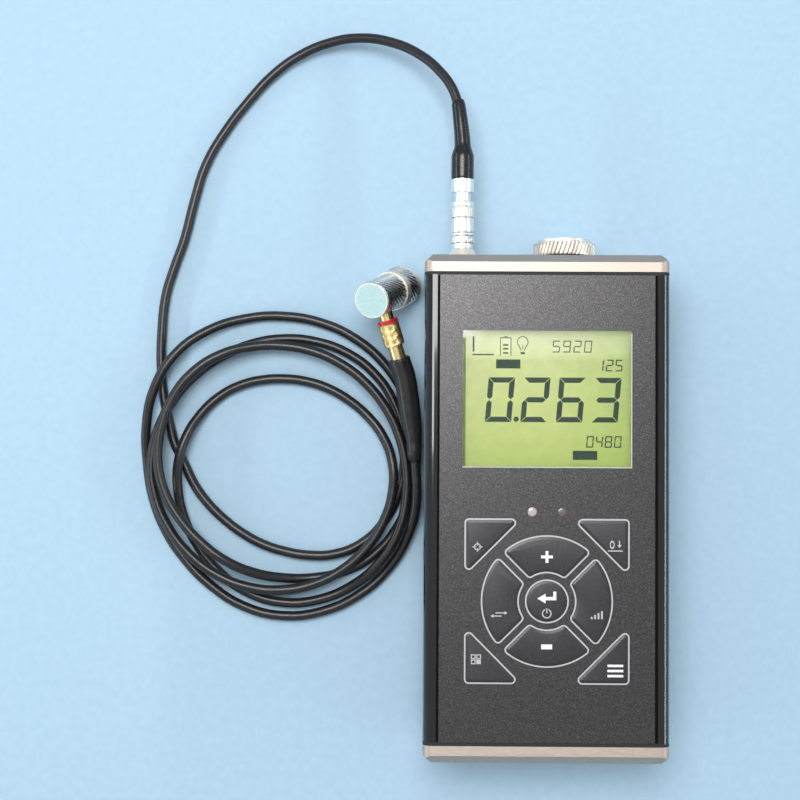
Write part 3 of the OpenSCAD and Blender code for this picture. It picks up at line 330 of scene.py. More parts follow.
def flake_film(name, dark, light, flake, flake_share, rough):
    """Printed film with random bright flakes over a mottled ink."""
    made = finish(name, dark, light, rough, grain=0.5, bump=0.001, detail=6, Metallic=0.6,
                  Specular_IOR_Level=1.0)
    tree = made.node_tree
    shader = tree.nodes["Principled BSDF"]
    where = node(tree, "ShaderNodeTexCoord").outputs["Object"]
    cells = node(tree, "ShaderNodeTexVoronoi", {"Vector": where, "Scale": per_mm(FLAKE_SIZE)})
    split = node(tree, "ShaderNodeSeparateColor", {"Color": cells.outputs["Color"]})
    chosen = node(tree, "ShaderNodeMapRange", {"Value": split.outputs["Red"], "From Min": 1 - flake_share,
                                               "From Max": 1.0, "To Min": 0.0, "To Max": FLAKE_COVER})
    ink = shader.inputs["Base Color"].links[0].from_socket
    mixed = node(tree, "ShaderNodeMix", data_type="RGBA")
    tree.links.new(chosen.outputs["Result"], mixed.inputs[0])
    tree.links.new(ink, mixed.inputs[6])
    mixed.inputs[7].default_value = linear(flake)
    tree.links.new(mixed.outputs[2], shader.inputs["Base Color"])
    return made


overlay_film = flake_film("charcoal_flake_film", "#2f2d2e", "#373536", "#b4b3b2", 0.32, (0.32, 0.36))
key_film = flake_film("key_flake_film", "#2e2c2e", "#373537", "#737173", 0.2, (0.36, 0.4))
dress(overlay_film, "keypad_overlay")
print(overlay_film.name, key_film.name)


# %% [markdown]
# Key outlines and symbols are screen printed on the film. The ink is an opaque silver-grey for the
# outlines and small symbols, and white for the main symbols. It is slightly grainy.

# %% Printing inks
silver_ink = finish("silver_screen_ink", "#a9a9aa", "#c6c6c7", (0.4, 0.55), grain=0.2, bump=0.004,
                    Metallic=0.2)
white_ink = finish("white_screen_ink", "#dedede", "#f4f4f3", (0.45, 0.6), grain=0.2, bump=0.004)
print(silver_ink.name, white_ink.name)


# %% [markdown]
# Each key is a raised pillow in the film. The new key starts from the flat underside of its CAD solid,
# so it has the same outline. A region inset of 0.4 mm gives the printed line, and four more insets
# that rise step by step give the soft shoulder. The piece then replaces the CAD key and rides on the
# same body, so it still goes down when the key is pressed.

# %% Keys with a printed line and a soft shoulder
OVERLAY_TOP = 31.2
KEY_LINE = 0.4
SHOULDER = [(0.2, 0.02), (0.2, 0.05), (0.2, 0.05), (0.15, 0.02)]  # width and rise of each step


def pillow_key(name):
    """Key whose outline is that of the CAD key's underside."""
    bm = bmesh.new()
    bm.from_mesh(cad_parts[name].data)
    bmesh.ops.remove_doubles(bm, verts=bm.verts, dist=1e-7)
    bmesh.ops.dissolve_limit(bm, angle_limit=math.radians(1), verts=bm.verts, edges=bm.edges)
    under = min(bm.faces, key=lambda f: (round(f.calc_center_median().z, 6), -f.calc_area()))
    bmesh.ops.delete(bm, geom=[f for f in bm.faces if f is not under], context="FACES")
    face = bm.faces[:][0]
    if face.normal.z < 0:
        bmesh.ops.reverse_faces(bm, faces=[face])
    low = face.calc_center_median().z
    top = bmesh.ops.extrude_face_region(bm, geom=[face])
    bmesh.ops.translate(bm, verts=[v for v in top["geom"] if isinstance(v, bmesh.types.BMVert)],
                        vec=(0, 0, OVERLAY_TOP * MM - low))
    crown = max(bm.faces, key=lambda f: f.calc_center_median().z)
    line = bmesh.ops.inset_region(bm, faces=[crown], thickness=KEY_LINE * MM, use_even_offset=False)["faces"]
    for f in line:
        f.material_index = 1
    slopes = []
    for width, rise in SHOULDER:
        slopes += bmesh.ops.inset_region(bm, faces=[crown], thickness=width * MM, depth=0,
                                         use_even_offset=False)["faces"]
        bmesh.ops.translate(bm, verts=crown.verts, vec=(0, 0, rise * MM))
    for f in slopes + [crown]:
        f.smooth = True
    bmesh.ops.recalc_face_normals(bm, faces=bm.faces)
    key = piece_from(name + "_pillow", bm, key_film, silver_ink)
    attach(key, name)
    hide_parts(name)
    return key


KEYS = sorted(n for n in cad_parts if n.startswith("key_"))
for key_name in KEYS:
    made_key = pillow_key(key_name)
    print(made_key.name, len(made_key.data.polygons), "faces")


# %% [markdown]
# Printed symbols and the display's figures are thin flat plates. One drawing helper collects simple
# flat shapes in a bmesh: bars, rings and convex outlines, in millimetres on one plane. The plate is
# then extruded by two hundredths of a millimetre, so that it is a closed solid.

# %% Flat plate helpers
PLATE_H = 0.02


def bar(bm, start, end, width):
    """Straight bar from start to end."""
    a, b = Vector(start), Vector(end)
    along = (b - a).normalized()
    side = Vector((-along.y, along.x)) * width / 2
    bm.faces.new([bm.verts.new((c.x, c.y, 0)) for c in (a - side, b - side, b + side, a + side)])


def blob(bm, *corners):
    """Filled outline, with its corners in turning order."""
    bm.faces.new([bm.verts.new((x, y, 0)) for x, y in corners])


def ring(bm, centre, radius, width, sides=32, stretch=1.0, keep=lambda angle: True):
    """Band round a centre, left open where keep says no to an angle in degrees."""
    outer = bmesh.ops.create_circle(bm, cap_ends=False, radius=radius, segments=sides)["verts"]
    inner = bmesh.ops.create_circle(bm, cap_ends=False, radius=radius - width, segments=sides)["verts"]
    bmesh.ops.scale(bm, verts=outer + inner, vec=(1, stretch, 1))
    edges = list({e for v in outer + inner for e in v.link_edges})
    band = bmesh.ops.bridge_loops(bm, edges=edges)["faces"]
    unwanted = [f for f in band if not keep(math.degrees(math.atan2(*reversed(f.calc_center_median().xy))))]
    bmesh.ops.translate(bm, verts=outer + inner, vec=(*centre, 0))
    if unwanted:
        bmesh.ops.delete(bm, geom=unwanted, context="FACES")


def plate(name, bm, z, material, body):
    """Closed thin plate from flat shapes drawn in millimetres, with its underside at z."""
    bmesh.ops.delete(bm, geom=[e for e in bm.edges if not e.link_faces], context="EDGES")
    bmesh.ops.recalc_face_normals(bm, faces=bm.faces)
    flipped = [f for f in bm.faces if f.normal.z < 0]
    bmesh.ops.reverse_faces(bm, faces=flipped)
    grown = bmesh.ops.extrude_face_region(bm, geom=bm.faces[:])
    bmesh.ops.translate(bm, verts=[v for v in grown["geom"] if isinstance(v, bmesh.types.BMVert)],
                        vec=(0, 0, PLATE_H))
    bmesh.ops.translate(bm, verts=bm.verts, vec=(0, 0, z))
    bmesh.ops.scale(bm, verts=bm.verts, vec=(MM, MM, MM))
    bmesh.ops.recalc_face_normals(bm, faces=bm.faces)
    piece = piece_from(name, bm, material)
    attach(piece, body)
    print(name, len(piece.data.polygons), "faces")


# %% [markdown]
# Every key carries its symbol: plus, minus, a return arrow over a power sign, a target, a nought over
# a line, two arrows, rising bars, four squares and three bars. Their places are in millimetres on the
# case's front.

# %% Symbols on the keys
KEY_TOP = 31.35
TARGET_X, TARGET_Y = -17.9, -10.05
drawn = bmesh.new()
bar(drawn, (-1.55, -12.52), (1.5, -12.52), 0.75)
bar(drawn, (-0.02, -14.05), (-0.02, -12.9), 0.75)
bar(drawn, (-0.02, -12.14), (-0.02, -11.0), 0.75)
plate("symbol_plus", drawn, KEY_TOP, white_ink, "key_plus")

drawn = bmesh.new()
bar(drawn, (-1.45, -35.56), (1.37, -35.56), 1.26)
plate("symbol_minus", drawn, KEY_TOP, white_ink, "key_minus")

drawn = bmesh.new()
blob(drawn, (-2.5, -23.2), (-0.35, -24.45), (-0.35, -21.95))
bar(drawn, (-0.35, -23.2), (2.4, -23.2), 0.85)
bar(drawn, (2.0, -22.78), (2.0, -21.4), 0.8)
plate("symbol_return", drawn, KEY_TOP, white_ink, "key_enter")

drawn = bmesh.new()
ring(drawn, (-0.04, -27.05), 1.25, 0.3, keep=lambda angle: abs(angle - 90) > 24)
bar(drawn, (-0.04, -27.0), (-0.04, -25.65), 0.3)
plate("symbol_power", drawn, KEY_TOP, silver_ink, "key_enter")

drawn = bmesh.new()
ring(drawn, (TARGET_X, TARGET_Y), 0.9, 0.24)
for dx, dy in ((1, 0), (-1, 0), (0, 1), (0, -1)):
    for near, far in ((0.35, 0.62), (0.92, 1.3)):
        start = (TARGET_X + near * dx, TARGET_Y + near * dy)
        bar(drawn, start, (TARGET_X + far * dx, TARGET_Y + far * dy), 0.24)
plate("symbol_target", drawn, KEY_TOP, silver_ink, "key_target")

drawn = bmesh.new()
ring(drawn, (16.73, -9.32), 0.62, 0.24, stretch=1.72)
bar(drawn, (18.59, -8.25), (18.59, -9.35), 0.28)
blob(drawn, (18.59, -10.17), (19.15, -9.35), (18.03, -9.35))
bar(drawn, (15.64, -10.9), (19.46, -10.9), 0.3)
plate("symbol_nought", drawn, KEY_TOP, silver_ink, "key_zero")

drawn = bmesh.new()
bar(drawn, (-13.2, -26.95), (-10.9, -26.95), 0.28)
blob(drawn, (-10.1, -26.95), (-10.9, -26.5), (-10.9, -27.4))
bar(drawn, (-13.7, -27.75), (-11.6, -27.75), 0.28)
blob(drawn, (-14.5, -27.75), (-13.7, -28.2), (-13.7, -27.3))
plate("symbol_arrows", drawn, KEY_TOP, silver_ink, "key_scan")

drawn = bmesh.new()
for k in range(4):
    bar(drawn, (11.5 + 0.87 * k, -28.38), (11.5 + 0.87 * k, -27.8 + 0.49 * k), 0.46)
plate("symbol_rising_bars", drawn, KEY_TOP, silver_ink, "key_gain")

drawn = bmesh.new()
for x, y in ((-18.87, -38.19), (-17.47, -38.18), (-18.86, -39.52)):
    for side in (-0.47, 0.47):
        bar(drawn, (x + side, y - 0.6), (x + side, y + 0.6), 0.26)
        bar(drawn, (x - 0.34, y + side), (x + 0.34, y + side), 0.26)
bar(drawn, (-18.06, -39.51), (-16.9, -39.51), 1.16)
plate("symbol_squares", drawn, KEY_TOP, silver_ink, "key_mode")

drawn = bmesh.new()
for y in (-40.3, -41.6, -42.9):
    bar(drawn, (15.55, y), (19.6, y), 0.62)
plate("symbol_menu", drawn, KEY_TOP, white_ink, "key_menu")


# %% [markdown]
# The display is a liquid crystal cell, lit from behind in yellow-green, under a clear polycarbonate
# window. Its colour is paler along the top and greener at the lower right. The figures are electrode
# areas in the cell, dark blue-green, slanted by five degrees. They show plain numbers only. The thin
# signs are a paler grey-green, which paints the glare over them.

# %% Display figures
CELL_TOP = 27.9
SLANT = math.tan(math.radians(5))
SEGMENTS = {"0": "abcdef", "1": "bc", "2": "abged", "3": "abgcd", "4": "fgbc", "5": "afgcd", "6": "afgedc",
            "7": "abc", "8": "abcdefg", "9": "abcdfg"}


def figure(bm, digit, x, y, width, height, thick):
    """Seven-segment figure whose lower left corner is at x, y. g is the gap at a segment's end."""
    t, g, half = thick, thick * 0.07, height / 2
    upper = [(0, height - g), (t, height - t - g), (t, half + t / 2 + g), (t / 2, half + g),
             (0, half + t / 2 + g)]
    level = [(g, height), (width - g, height), (width - t - g, height - t), (t + g, height - t)]
    shapes = {
        "a": level, "d": [(px, height - py) for px, py in level],
        "f": upper, "b": [(width - px, py) for px, py in upper],
        "e": [(px, height - py) for px, py in upper], "c": [(width - px, height - py) for px, py in upper],
        "g": [(t / 2 + g, half), (t + g, half + t / 2), (width - t - g, half + t / 2),
              (width - t / 2 - g, half), (width - t - g, half - t / 2), (t + g, half - t / 2)]}
    for letter in SEGMENTS[digit]:
        blob(bm, *[(x + px + SLANT * py, y + py) for px, py in shapes[letter]])


def number(bm, value, x, y, pitch, width, height, thick):
    """Row of figures, each a pitch to the right of the last."""
    for place, digit in enumerate(value):
        figure(bm, digit, x + pitch * place, y, width, height, thick)


segment_ink = finish("liquid_crystal_segment", "#01371d", "#06482a", (0.3, 0.4), grain=0.8,
                     Specular_IOR_Level=0.08)
# The thin signs' paler grey-green paints the glare that lies over them.
thin_ink_with_glare = finish("liquid_crystal_thin_line_painted_glare", "#4c6043", "#5a6f50", (0.3, 0.4), grain=0.8,
                  Specular_IOR_Level=0.08)
drawn = bmesh.new()
number(drawn, "0263", -16.0, 22.15, pitch=9.22, width=6.85, height=11.6, thick=1.35)
ring(drawn, (-7.85, 22.9), 0.68, 0.6, sides=20)
plate("reading_figures", drawn, CELL_TOP, segment_ink, "root")

drawn = bmesh.new()
number(drawn, "125", 12.9, 35.45, pitch=2.45, width=1.85, height=3.05, thick=0.32)
number(drawn, "0480", 10.3, 15.6, pitch=2.4, width=1.85, height=3.0, thick=0.32)
bar(drawn, (-19.0, 40.45), (-19.0, 44.5), 0.42)
bar(drawn, (-19.3, 39.66), (-13.7, 39.66), 0.32)
for x, y, w in ((-13.1, 37.25, 6.3), (6.9, 13.57, 6.35)):
    bar(drawn, (x, y), (x + w, y), 2.35)
plate("display_marks", drawn, CELL_TOP, segment_ink, "root")

drawn = bmesh.new()
number(drawn, "5920", 1.45, 40.3, pitch=2.75, width=1.95, height=3.1, thick=0.27)
bar(drawn, (-12.0, 39.4), (-12.0, 43.95), 0.22)
bar(drawn, (-9.25, 39.4), (-9.25, 43.95), 0.22)
bar(drawn, (-12.1, 44.05), (-9.15, 44.05), 0.22)
bar(drawn, (-11.15, 44.35), (-10.1, 44.35), 0.24)
for y in (40.1, 41.2, 42.2):
    bar(drawn, (-11.3, y), (-9.95, y), 0.42)
ring(drawn, (-6.2, 43.0), 1.5, 0.2, keep=lambda angle: abs(angle + 90) > 38)
bar(drawn, (-7.1, 41.85), (-6.6, 40.75), 0.2)
bar(drawn, (-5.3, 41.85), (-5.8, 40.75), 0.2)
bar(drawn, (-6.2, 41.1), (-6.2, 42.2), 0.16)
bar(drawn, (-6.75, 40.1), (-5.65, 40.1), 0.6)
plate("display_signs", drawn, CELL_TOP, thin_ink_with_glare, "root")


# %% [markdown]
# The window's edges show as thin lines of painted light and shade: a green painted shadow of its left
# side on the cell, and a painted highlight on its right and lower rims. A matt black strip of 0.6 mm
# along each rail paints the shade in the gap between the film and the rail.

# %% Thin borders
WINDOW_X, WINDOW_LOW, WINDOW_HIGH = 21.85, 10.35, 45.95
FILM_X, FILM_Y = 28.4, 60.1
painted_edge_shadow = finish("shaded_cell_edge", "#7aa014", "#8fb528", (0.3, 0.4), grain=0.8)
painted_rim_highlight = finish("painted_highlight_on_window_edge", "#c9ccc4", "#e0e2da", (0.1, 0.2), grain=0.6)
painted_gap_shade = finish("matt_black_painted_gap_shade", "#060607", "#0d0d0e", (0.85, 0.95), grain=0.4,
                    Specular_IOR_Level=0.1)
# The green bar on the cell's left is a painted shadow of the window's left side.
drawn = bmesh.new()
bar(drawn, (-WINDOW_X + 0.45, WINDOW_LOW), (-WINDOW_X + 0.45, WINDOW_HIGH - 1.8), 0.85)
plate("cell_left_edge", drawn, CELL_TOP, painted_edge_shadow, "root")
# Pale bars on the window's right and lower rims are a painted highlight.
drawn = bmesh.new()
bar(drawn, (WINDOW_X - 0.12, WINDOW_LOW), (WINDOW_X - 0.12, WINDOW_HIGH - 0.8), 0.2)
bar(drawn, (-WINDOW_X, WINDOW_LOW + 0.12), (WINDOW_X - 0.2, WINDOW_LOW + 0.12), 0.2)
plate("window_rim", drawn, OVERLAY_TOP, painted_rim_highlight, "root")
# Matt black strips along the rails paint the shade in the gap between the film and the rail.
drawn = bmesh.new()
for side in (-1, 1):
    bar(drawn, (side * (FILM_X - 0.33), -FILM_Y), (side * (FILM_X - 0.33), FILM_Y), 0.6)
plate("rail_gap_shade", drawn, OVERLAY_TOP, painted_gap_shade, "root")


# %% [markdown]
# The cell's colour runs up the display through five stops, and mixes with a deeper green towards the
# right. A fine noise stands for the cell's spacers. The same colour glows faintly, as the backlight
# makes it, and the window over it is clear polycarbonate that mirrors little.

# %% Lit cell and clear window
CELL_LOW, CELL_HIGH, CELL_RIGHT = 10.6, 45.8, 22
CELL_ENDS = [("#b6c864", 0.0), ("#eaeec6", 0.93)]
CELL_STOPS = [("#c6d07e", 0.3), ("#d0d896", 0.78), ("#e4e9b8", 0.84)]
CELL_SIDE, SIDE_SHARE, SPECK_SHARE = "#9dbb3c", 0.45, 0.06
lit_cell = bpy.data.materials.new("lit_liquid_crystal_cell")
lit_cell.use_nodes = True
tree = lit_cell.node_tree
shader = tree.nodes["Principled BSDF"]
where = node(tree, "ShaderNodeTexCoord").outputs["Object"]
split = node(tree, "ShaderNodeSeparateXYZ", {"Vector": where})
up = node(tree, "ShaderNodeMapRange", {"Value": split.outputs["Y"], "From Min": CELL_LOW * MM,
                                       "From Max": CELL_HIGH * MM})
glow = node(tree, "ShaderNodeValToRGB", {"Fac": up.outputs["Result"]})
for stop, (colour, position) in zip(glow.color_ramp.elements, CELL_ENDS):
    stop.color, stop.position = linear(colour), position
for colour, position in CELL_STOPS:
    glow.color_ramp.elements.new(position).color = linear(colour)
across = node(tree, "ShaderNodeMapRange", {"Value": split.outputs["X"], "From Min": 0.0,
                                           "From Max": CELL_RIGHT * MM, "To Min": 0.0, "To Max": SIDE_SHARE})
grain = node(tree, "ShaderNodeTexNoise", {"Vector": where, "Scale": per_mm(0.35), "Detail": 3.0})
speck = node(tree, "ShaderNodeMapRange", {"Value": grain.outputs["Fac"], "To Min": -SPECK_SHARE,
                                          "To Max": SPECK_SHARE})
tint = node(tree, "ShaderNodeMath", {0: across.outputs["Result"], 1: speck.outputs["Result"]},
            operation="ADD", use_clamp=True)
mixed = node(tree, "ShaderNodeMix", data_type="RGBA")
tree.links.new(tint.outputs["Value"], mixed.inputs[0])
tree.links.new(glow.outputs["Color"], mixed.inputs[6])
mixed.inputs[7].default_value = linear(CELL_SIDE)
tree.links.new(mixed.outputs[2], shader.inputs["Base Color"])
tree.links.new(mixed.outputs[2], shader.inputs["Emission Color"])
shader.inputs["Emission Strength"].default_value = 0.3
shader.inputs["Roughness"].default_value = 0.35
dress(lit_cell, "lcd_glass")

window_pane = finish("clear_polycarbonate_pane", "#f4f7ee", "#fbfdf8", (0.03, 0.07), grain=3, bump=0.001,
                     Transmission_Weight=1.0, IOR=1.585, Specular_IOR_Level=0.1)
dress(window_pane, "display_window")
print(lit_cell.name, window_pane.name)


# %% [markdown]
# Two indicator lamps look through the film: small epoxy domes, one milky and lit, one dark. Each is a
# uv sphere pressed flat, sunk into the lamp's own CAD body, so only a shallow dome stands proud.

# %% Indicator lamps
LAMP_X, LAMP_Y, LAMP_Z, LAMP_R = 3.85, -1, 31.1, 1.2
DOME_FLATNESS = 0.2
lamp_lit = finish("milky_lamp_epoxy", "#bcada7", "#cbbdb6", (0.2, 0.3), grain=0.5,
                  Subsurface_Weight=0.2, Coat_Weight=0.4)
lamp_dark = finish("smoked_lamp_epoxy", "#5d5055", "#6d6065", (0.2, 0.3), grain=0.5, Coat_Weight=0.4)
dress(lamp_lit, "led_left")
dress(lamp_dark, "led_right")


def lamp_dome(name, x, material):
    """Shallow dome on an indicator lamp."""
    bm = bmesh.new()
    bmesh.ops.create_uvsphere(bm, u_segments=32, v_segments=16, radius=LAMP_R * MM)
    bmesh.ops.scale(bm, verts=bm.verts, vec=(1, 1, DOME_FLATNESS))
    bmesh.ops.translate(bm, verts=bm.verts, vec=(x * MM, LAMP_Y * MM, LAMP_Z * MM))
    for f in bm.faces:
        f.smooth = True
    dome = piece_from(name, bm, material)
    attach(dome, "root")
    print(name)


lamp_dome("lamp_dome_left", -LAMP_X, lamp_lit)
lamp_dome("lamp_dome_right", LAMP_X, lamp_dark)


# %% [markdown]
# Five pieces have a rolled knurl: the battery cap, the plug's sleeve, the probe's body and ring, and
# the gold nut. One helper draws them all. It extrudes a circle with six vertices to a ridge in short
# steps and turns each step, so that the mesh follows the slant. Then it sets each vertex's radius from
# its angle and height. Crossed slants give diamonds. The ends are plain for a short way with a broken
# edge, and a bore makes the piece a tube. Faces deep in the valleys take a second, darker material,
# which paints the shade that falls between the ridges.

# %% Knurl helper
VERTS_PER_RIDGE = 6
ROW, CROSSED_ROW = 0.3, 0.15
FLANK = 1.6  # over one, so that the crests are flat
VALLEY_SHARE = 0.55  # of the depth, below which a face is in the valley
EDGE_BREAK = 0.12
NEAR = 0.01


def ridge(turns):
    """Height of a ridge, from nought in the valley to one on its flat crest."""
    return min(1, FLANK * (1 - abs(2 * (turns % 1) - 1)))


def knurled_tube(bm, radius, length, ridges, depth, slant, bore, crossed=False, rims=(0.4, 0.4)):
    """Tube along +Z from nought. slant is the angle in degrees between the ridges and the axis, and
    rims are the plain lengths at the start and the end."""
    loop = bmesh.ops.create_circle(bm, cap_ends=False, radius=radius,
                                   segments=VERTS_PER_RIDGE * ridges)["verts"]
    edges = list({e for v in loop for e in v.link_edges})
    start_edges = edges[:]
    rows = max(4, round(length / (CROSSED_ROW if crossed else ROW)))
    twist = math.tan(math.radians(slant)) * ridges / (2 * math.pi * radius)
    turn = 0 if crossed else -2 * math.pi / ridges * twist * length / rows
    wall = list(loop)
    for row in range(rows):
        grown = bmesh.ops.extrude_edge_only(bm, edges=edges)["geom"]
        verts = [g for g in grown if isinstance(g, bmesh.types.BMVert)]
        bmesh.ops.translate(bm, verts=verts, vec=(0, 0, length / rows))
        bmesh.ops.rotate(bm, verts=verts, cent=(0, 0, 0), matrix=Matrix.Rotation(turn, 3, "Z"))
        edges = [g for g in grown if isinstance(g, bmesh.types.BMEdge)]
        wall += verts
    for v in wall:
        around = math.atan2(v.co.y, v.co.x) * ridges / (2 * math.pi)
        height = ridge(around + twist * v.co.z)
        if crossed:
            height = min(height, ridge(around - twist * v.co.z))
        inside = rims[0] - NEAR < v.co.z < length - rims[1] + NEAR
        v.co.xy *= 1 - (depth * (1 - height) if inside else 0) / radius
        if v.co.z < NEAR or v.co.z > length - NEAR:
            v.co.xy *= 1 - EDGE_BREAK / radius
    # Faces deep in the valleys take the second material, which paints the shade between the ridges.
    for face in bm.faces:
        middle = face.calc_center_median()
        deep = middle.xy.length < radius - VALLEY_SHARE * depth
        if depth and deep and rims[0] < middle.z < length - rims[1]:
            face.material_index = 1
    ends = []
    for loop_edges in (start_edges, edges):
        grown = bmesh.ops.extrude_edge_only(bm, edges=loop_edges)["geom"]
        for v in grown:
            if isinstance(v, bmesh.types.BMVert):
                v.co.xy = v.co.xy.normalized() * bore
        ends += [g for g in grown if isinstance(g, bmesh.types.BMEdge)]
    bmesh.ops.bridge_loops(bm, edges=ends)
    bmesh.ops.recalc_face_normals(bm, faces=bm.faces)


def knurled_piece(name, bm, place, material, valley, node_name, body):
    """Puts a piece that was drawn along +Z in millimetres where it belongs, over its CAD node."""
    bmesh.ops.transform(bm, verts=bm.verts, matrix=place @ Matrix.Scale(MM, 4))
    # valley is the darker material that paints the shade in the knurl's valleys.
    piece = piece_from(name, bm, material, valley)
    piece.data.polygons.foreach_set("use_smooth", [True] * len(piece.data.polygons))
    piece.data.set_sharp_from_angle(angle=math.radians(25))
    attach(piece, body)
    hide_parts(node_name)
    print(name, len(piece.data.polygons), "faces")
    return piece


def on_y(x, y, z):
    """Matrix in metres that lays +Z along the case's +Y, from a point in millimetres."""
    return Matrix.Translation((x * MM, y * MM, z * MM)) @ Matrix.Rotation(math.radians(-90), 4, "X")


# %% [markdown]
# The battery cap is turned from aluminium and nickel plated. Its knurl slants by 20 degrees, and a
# duller nickel in its valleys paints their shade. A raised disc on its face serves as the probe's zero
# block, and a plain skirt reaches down into the case. The neck under the knurl takes the seal's black
# rubber, which paints the shade in the gap under the knob, so that it shows as a dark line when the
# cap is shut.

# %% Battery cap with a slanted knurl
CAP_AXIS = (6.3, 11.4)
KNOB_Y, KNOB_R, KNOB_H, KNOB_FACE, NECK_H = 66.51, 8.35, 4.3, 0.8, 0.75
NECK_R, SKIRT_R, SKIRT_LOW, DISC_R = 7.9, 7.42, -6.13, 7.2
turned_nickel = finish("turned_nickel_plating", "#efe8dc", "#fbf6ec", (0.38, 0.48), grain=0.2,
                       stretch=(1, 0.2, 1), bump=0.001, Metallic=1.0)
# A duller nickel for the valleys and grooves paints the shade that falls in them.
painted_shade_nickel = finish("nickel_valleys_painted_shade", "#a79d8d", "#c4baa9", (0.4, 0.5), grain=0.2, Metallic=1.0)
# Near-black steel for the probe's knurl valleys paints the shade between the ridges.
painted_shade_steel = finish("steel_valleys_painted_shade", "#0b0c0e", "#17181b", (0.5, 0.6), grain=0.2, Metallic=0.3)
bm = bmesh.new()
knurled_tube(bm, KNOB_R, KNOB_H - NECK_H, ridges=44, depth=0.3, slant=-20, bore=7.4, rims=(0, 0.5))
bmesh.ops.translate(bm, verts=bm.verts, vec=(0, 0, NECK_H))
neck = bmesh.ops.create_cone(bm, cap_ends=True, segments=96, radius1=NECK_R, radius2=NECK_R, depth=NECK_H,
                             matrix=Matrix.Translation((0, 0, NECK_H / 2)))
# The neck takes the seal's black rubber, which paints the shade in the gap under the knob.
for face in {f for v in neck["verts"] for f in v.link_faces}:
    face.material_index = 2
for bottom, top, radius in ((SKIRT_LOW, KNOB_H - 0.1, SKIRT_R), (KNOB_H - 0.2, KNOB_H + KNOB_FACE, DISC_R)):
    bmesh.ops.create_cone(bm, cap_ends=True, segments=96, radius1=radius, radius2=radius, depth=top - bottom,
                          matrix=Matrix.Translation((0, 0, (top + bottom) / 2)))
knob = knurled_piece("knurled_battery_cap", bm, on_y(CAP_AXIS[0], KNOB_Y, CAP_AXIS[1]), turned_nickel,
                     painted_shade_nickel, "battery_cap", "battery_cap")
knob.data.materials.append(rubber)


# %% [markdown]
# The plug's sleeve has bands with a fine straight knurl, parted by grooves, on a smooth shell. Each
# band is a tube of its own that overlaps the shell, which shows in the grooves. The shell and the
# bands' valleys take the duller nickel, which paints the shade in the grooves.

# %% Plug sleeve with knurled bands
SLEEVE_Y = min(v.co.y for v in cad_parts["plug_sleeve"].data.vertices) / MM
SHELL_R, SLEEVE_L, SLEEVE_BORE, BAND_BORE = 2.85, 11.3, 2.32, 2.6
SLEEVE_PARTS = [  # start, length, radius and depth of the knurl
    (0.05, 1.75, 3.24, 0.08), (1.95, 0.75, 3.24, 0.08), (2.85, 4, 3.05, 0), (7, 2.65, 3.24, 0.08),
    (9.8, 1.45, 3.05, 0),
]
bm = bmesh.new()
knurled_tube(bm, SHELL_R, SLEEVE_L, ridges=12, depth=0, slant=0, bore=SLEEVE_BORE, rims=(0.2, 0.2))
# The shell's faces take the duller nickel, as painted shade in the grooves between the bands.
for face in bm.faces:
    face.material_index = 1
for start, length, radius, depth in SLEEVE_PARTS:
    band = bmesh.new()
    knurled_tube(band, radius, length, ridges=30, depth=depth, slant=0, bore=BAND_BORE, rims=(0.2, 0.2))
    bmesh.ops.translate(band, verts=band.verts, vec=(0, 0, start))
    loose = bpy.data.meshes.new("band")
    band.to_mesh(loose)
    band.free()
    bm.from_mesh(loose)
    bpy.data.meshes.remove(loose)
knurled_piece("knurled_plug_sleeve", bm, on_y(PLUG_AXIS[0], SLEEVE_Y, PLUG_AXIS[1]), bright_nickel,
              painted_shade_nickel, "plug_sleeve", "plug_sleeve")


# %% [markdown]
# The cord is satin PVC, the bend relief a moulded rubber and the boot heat-shrink polyolefin. PVC keeps
# a soft sheen and faint extrusion ripples. The boot has slight wrinkles from shrinking.

# %% Cord, bend relief and boot
cord_pvc = finish("satin_extruded_pvc", "#171618", "#232224", (0.26, 0.36), grain=1.2, bump=0.006)
dress(cord_pvc, "coiled_cord")
relief_rubber = finish("moulded_relief_rubber", "#101011", "#1a1a1c", (0.2, 0.3), grain=0.6, bump=0.004)
dress(relief_rubber, "bend_relief")
boot_plastic = finish("shrunk_polyolefin_tube", "#1d1c1d", "#2e2d2e", (0.28, 0.38), grain=0.9,
                      stretch=(1, 0.4, 1), bump=0.03)
dress(boot_plastic, "heat_shrink_boot")
print(cord_pvc.name, relief_rubber.name, boot_plastic.name)


# %% [markdown]
# The probe's connector is brass with hard gold plating, and its marker ring is red anodised. The probe
# is stainless steel: bright on the knurled body and ring, and satin on the collar. The disc on top is
# a satin pale enamel.

# %% Probe and its connector
gold = finish("hard_gold_plating", "#f3d488", "#ffedb8", (0.24, 0.34), grain=0.25, bump=0.003, Metallic=1.0)
dress(gold, "connector_body", "probe_jack", "battery_contact")
red = finish("red_anodised_ring", "#b80c28", "#dc1a38", (0.25, 0.35), grain=0.3, Coat_Weight=0.4)
dress(red, "connector_ring")
probe_steel = finish("knurled_stainless_steel", "#dedddb", "#f7f5f2", (0.24, 0.34), grain=0.3, bump=0.001,
                     Metallic=1.0)
collar_steel = finish("satin_stainless_steel", "#f0e6d6", "#fbf4e8", (0.38, 0.48), grain=0.4, bump=0.001,
                      Metallic=0.75)
dress(collar_steel, "probe_collar", "socket_nut", "probe_socket")
enamel = finish("pale_satin_enamel", "#b0d0cf", "#c0dfde", (0.3, 0.42), grain=0.7, bump=0.003,
                Coat_Weight=0.25)
dress(enamel, "probe_disc")
print(gold.name, red.name, probe_steel.name)


# %% [markdown]
# The probe leans, so its knurled pieces are drawn upright and then laid along its axis, between the
# ends of the CAD nodes that they replace. Their valleys, and the gold nut's, take a darker finish that
# paints the shade between the ridges. The ring's plain foot is in the collar's satin steel, and a
# narrow steel rim stands round the enamel disc. The delay line is amber polystyrene.

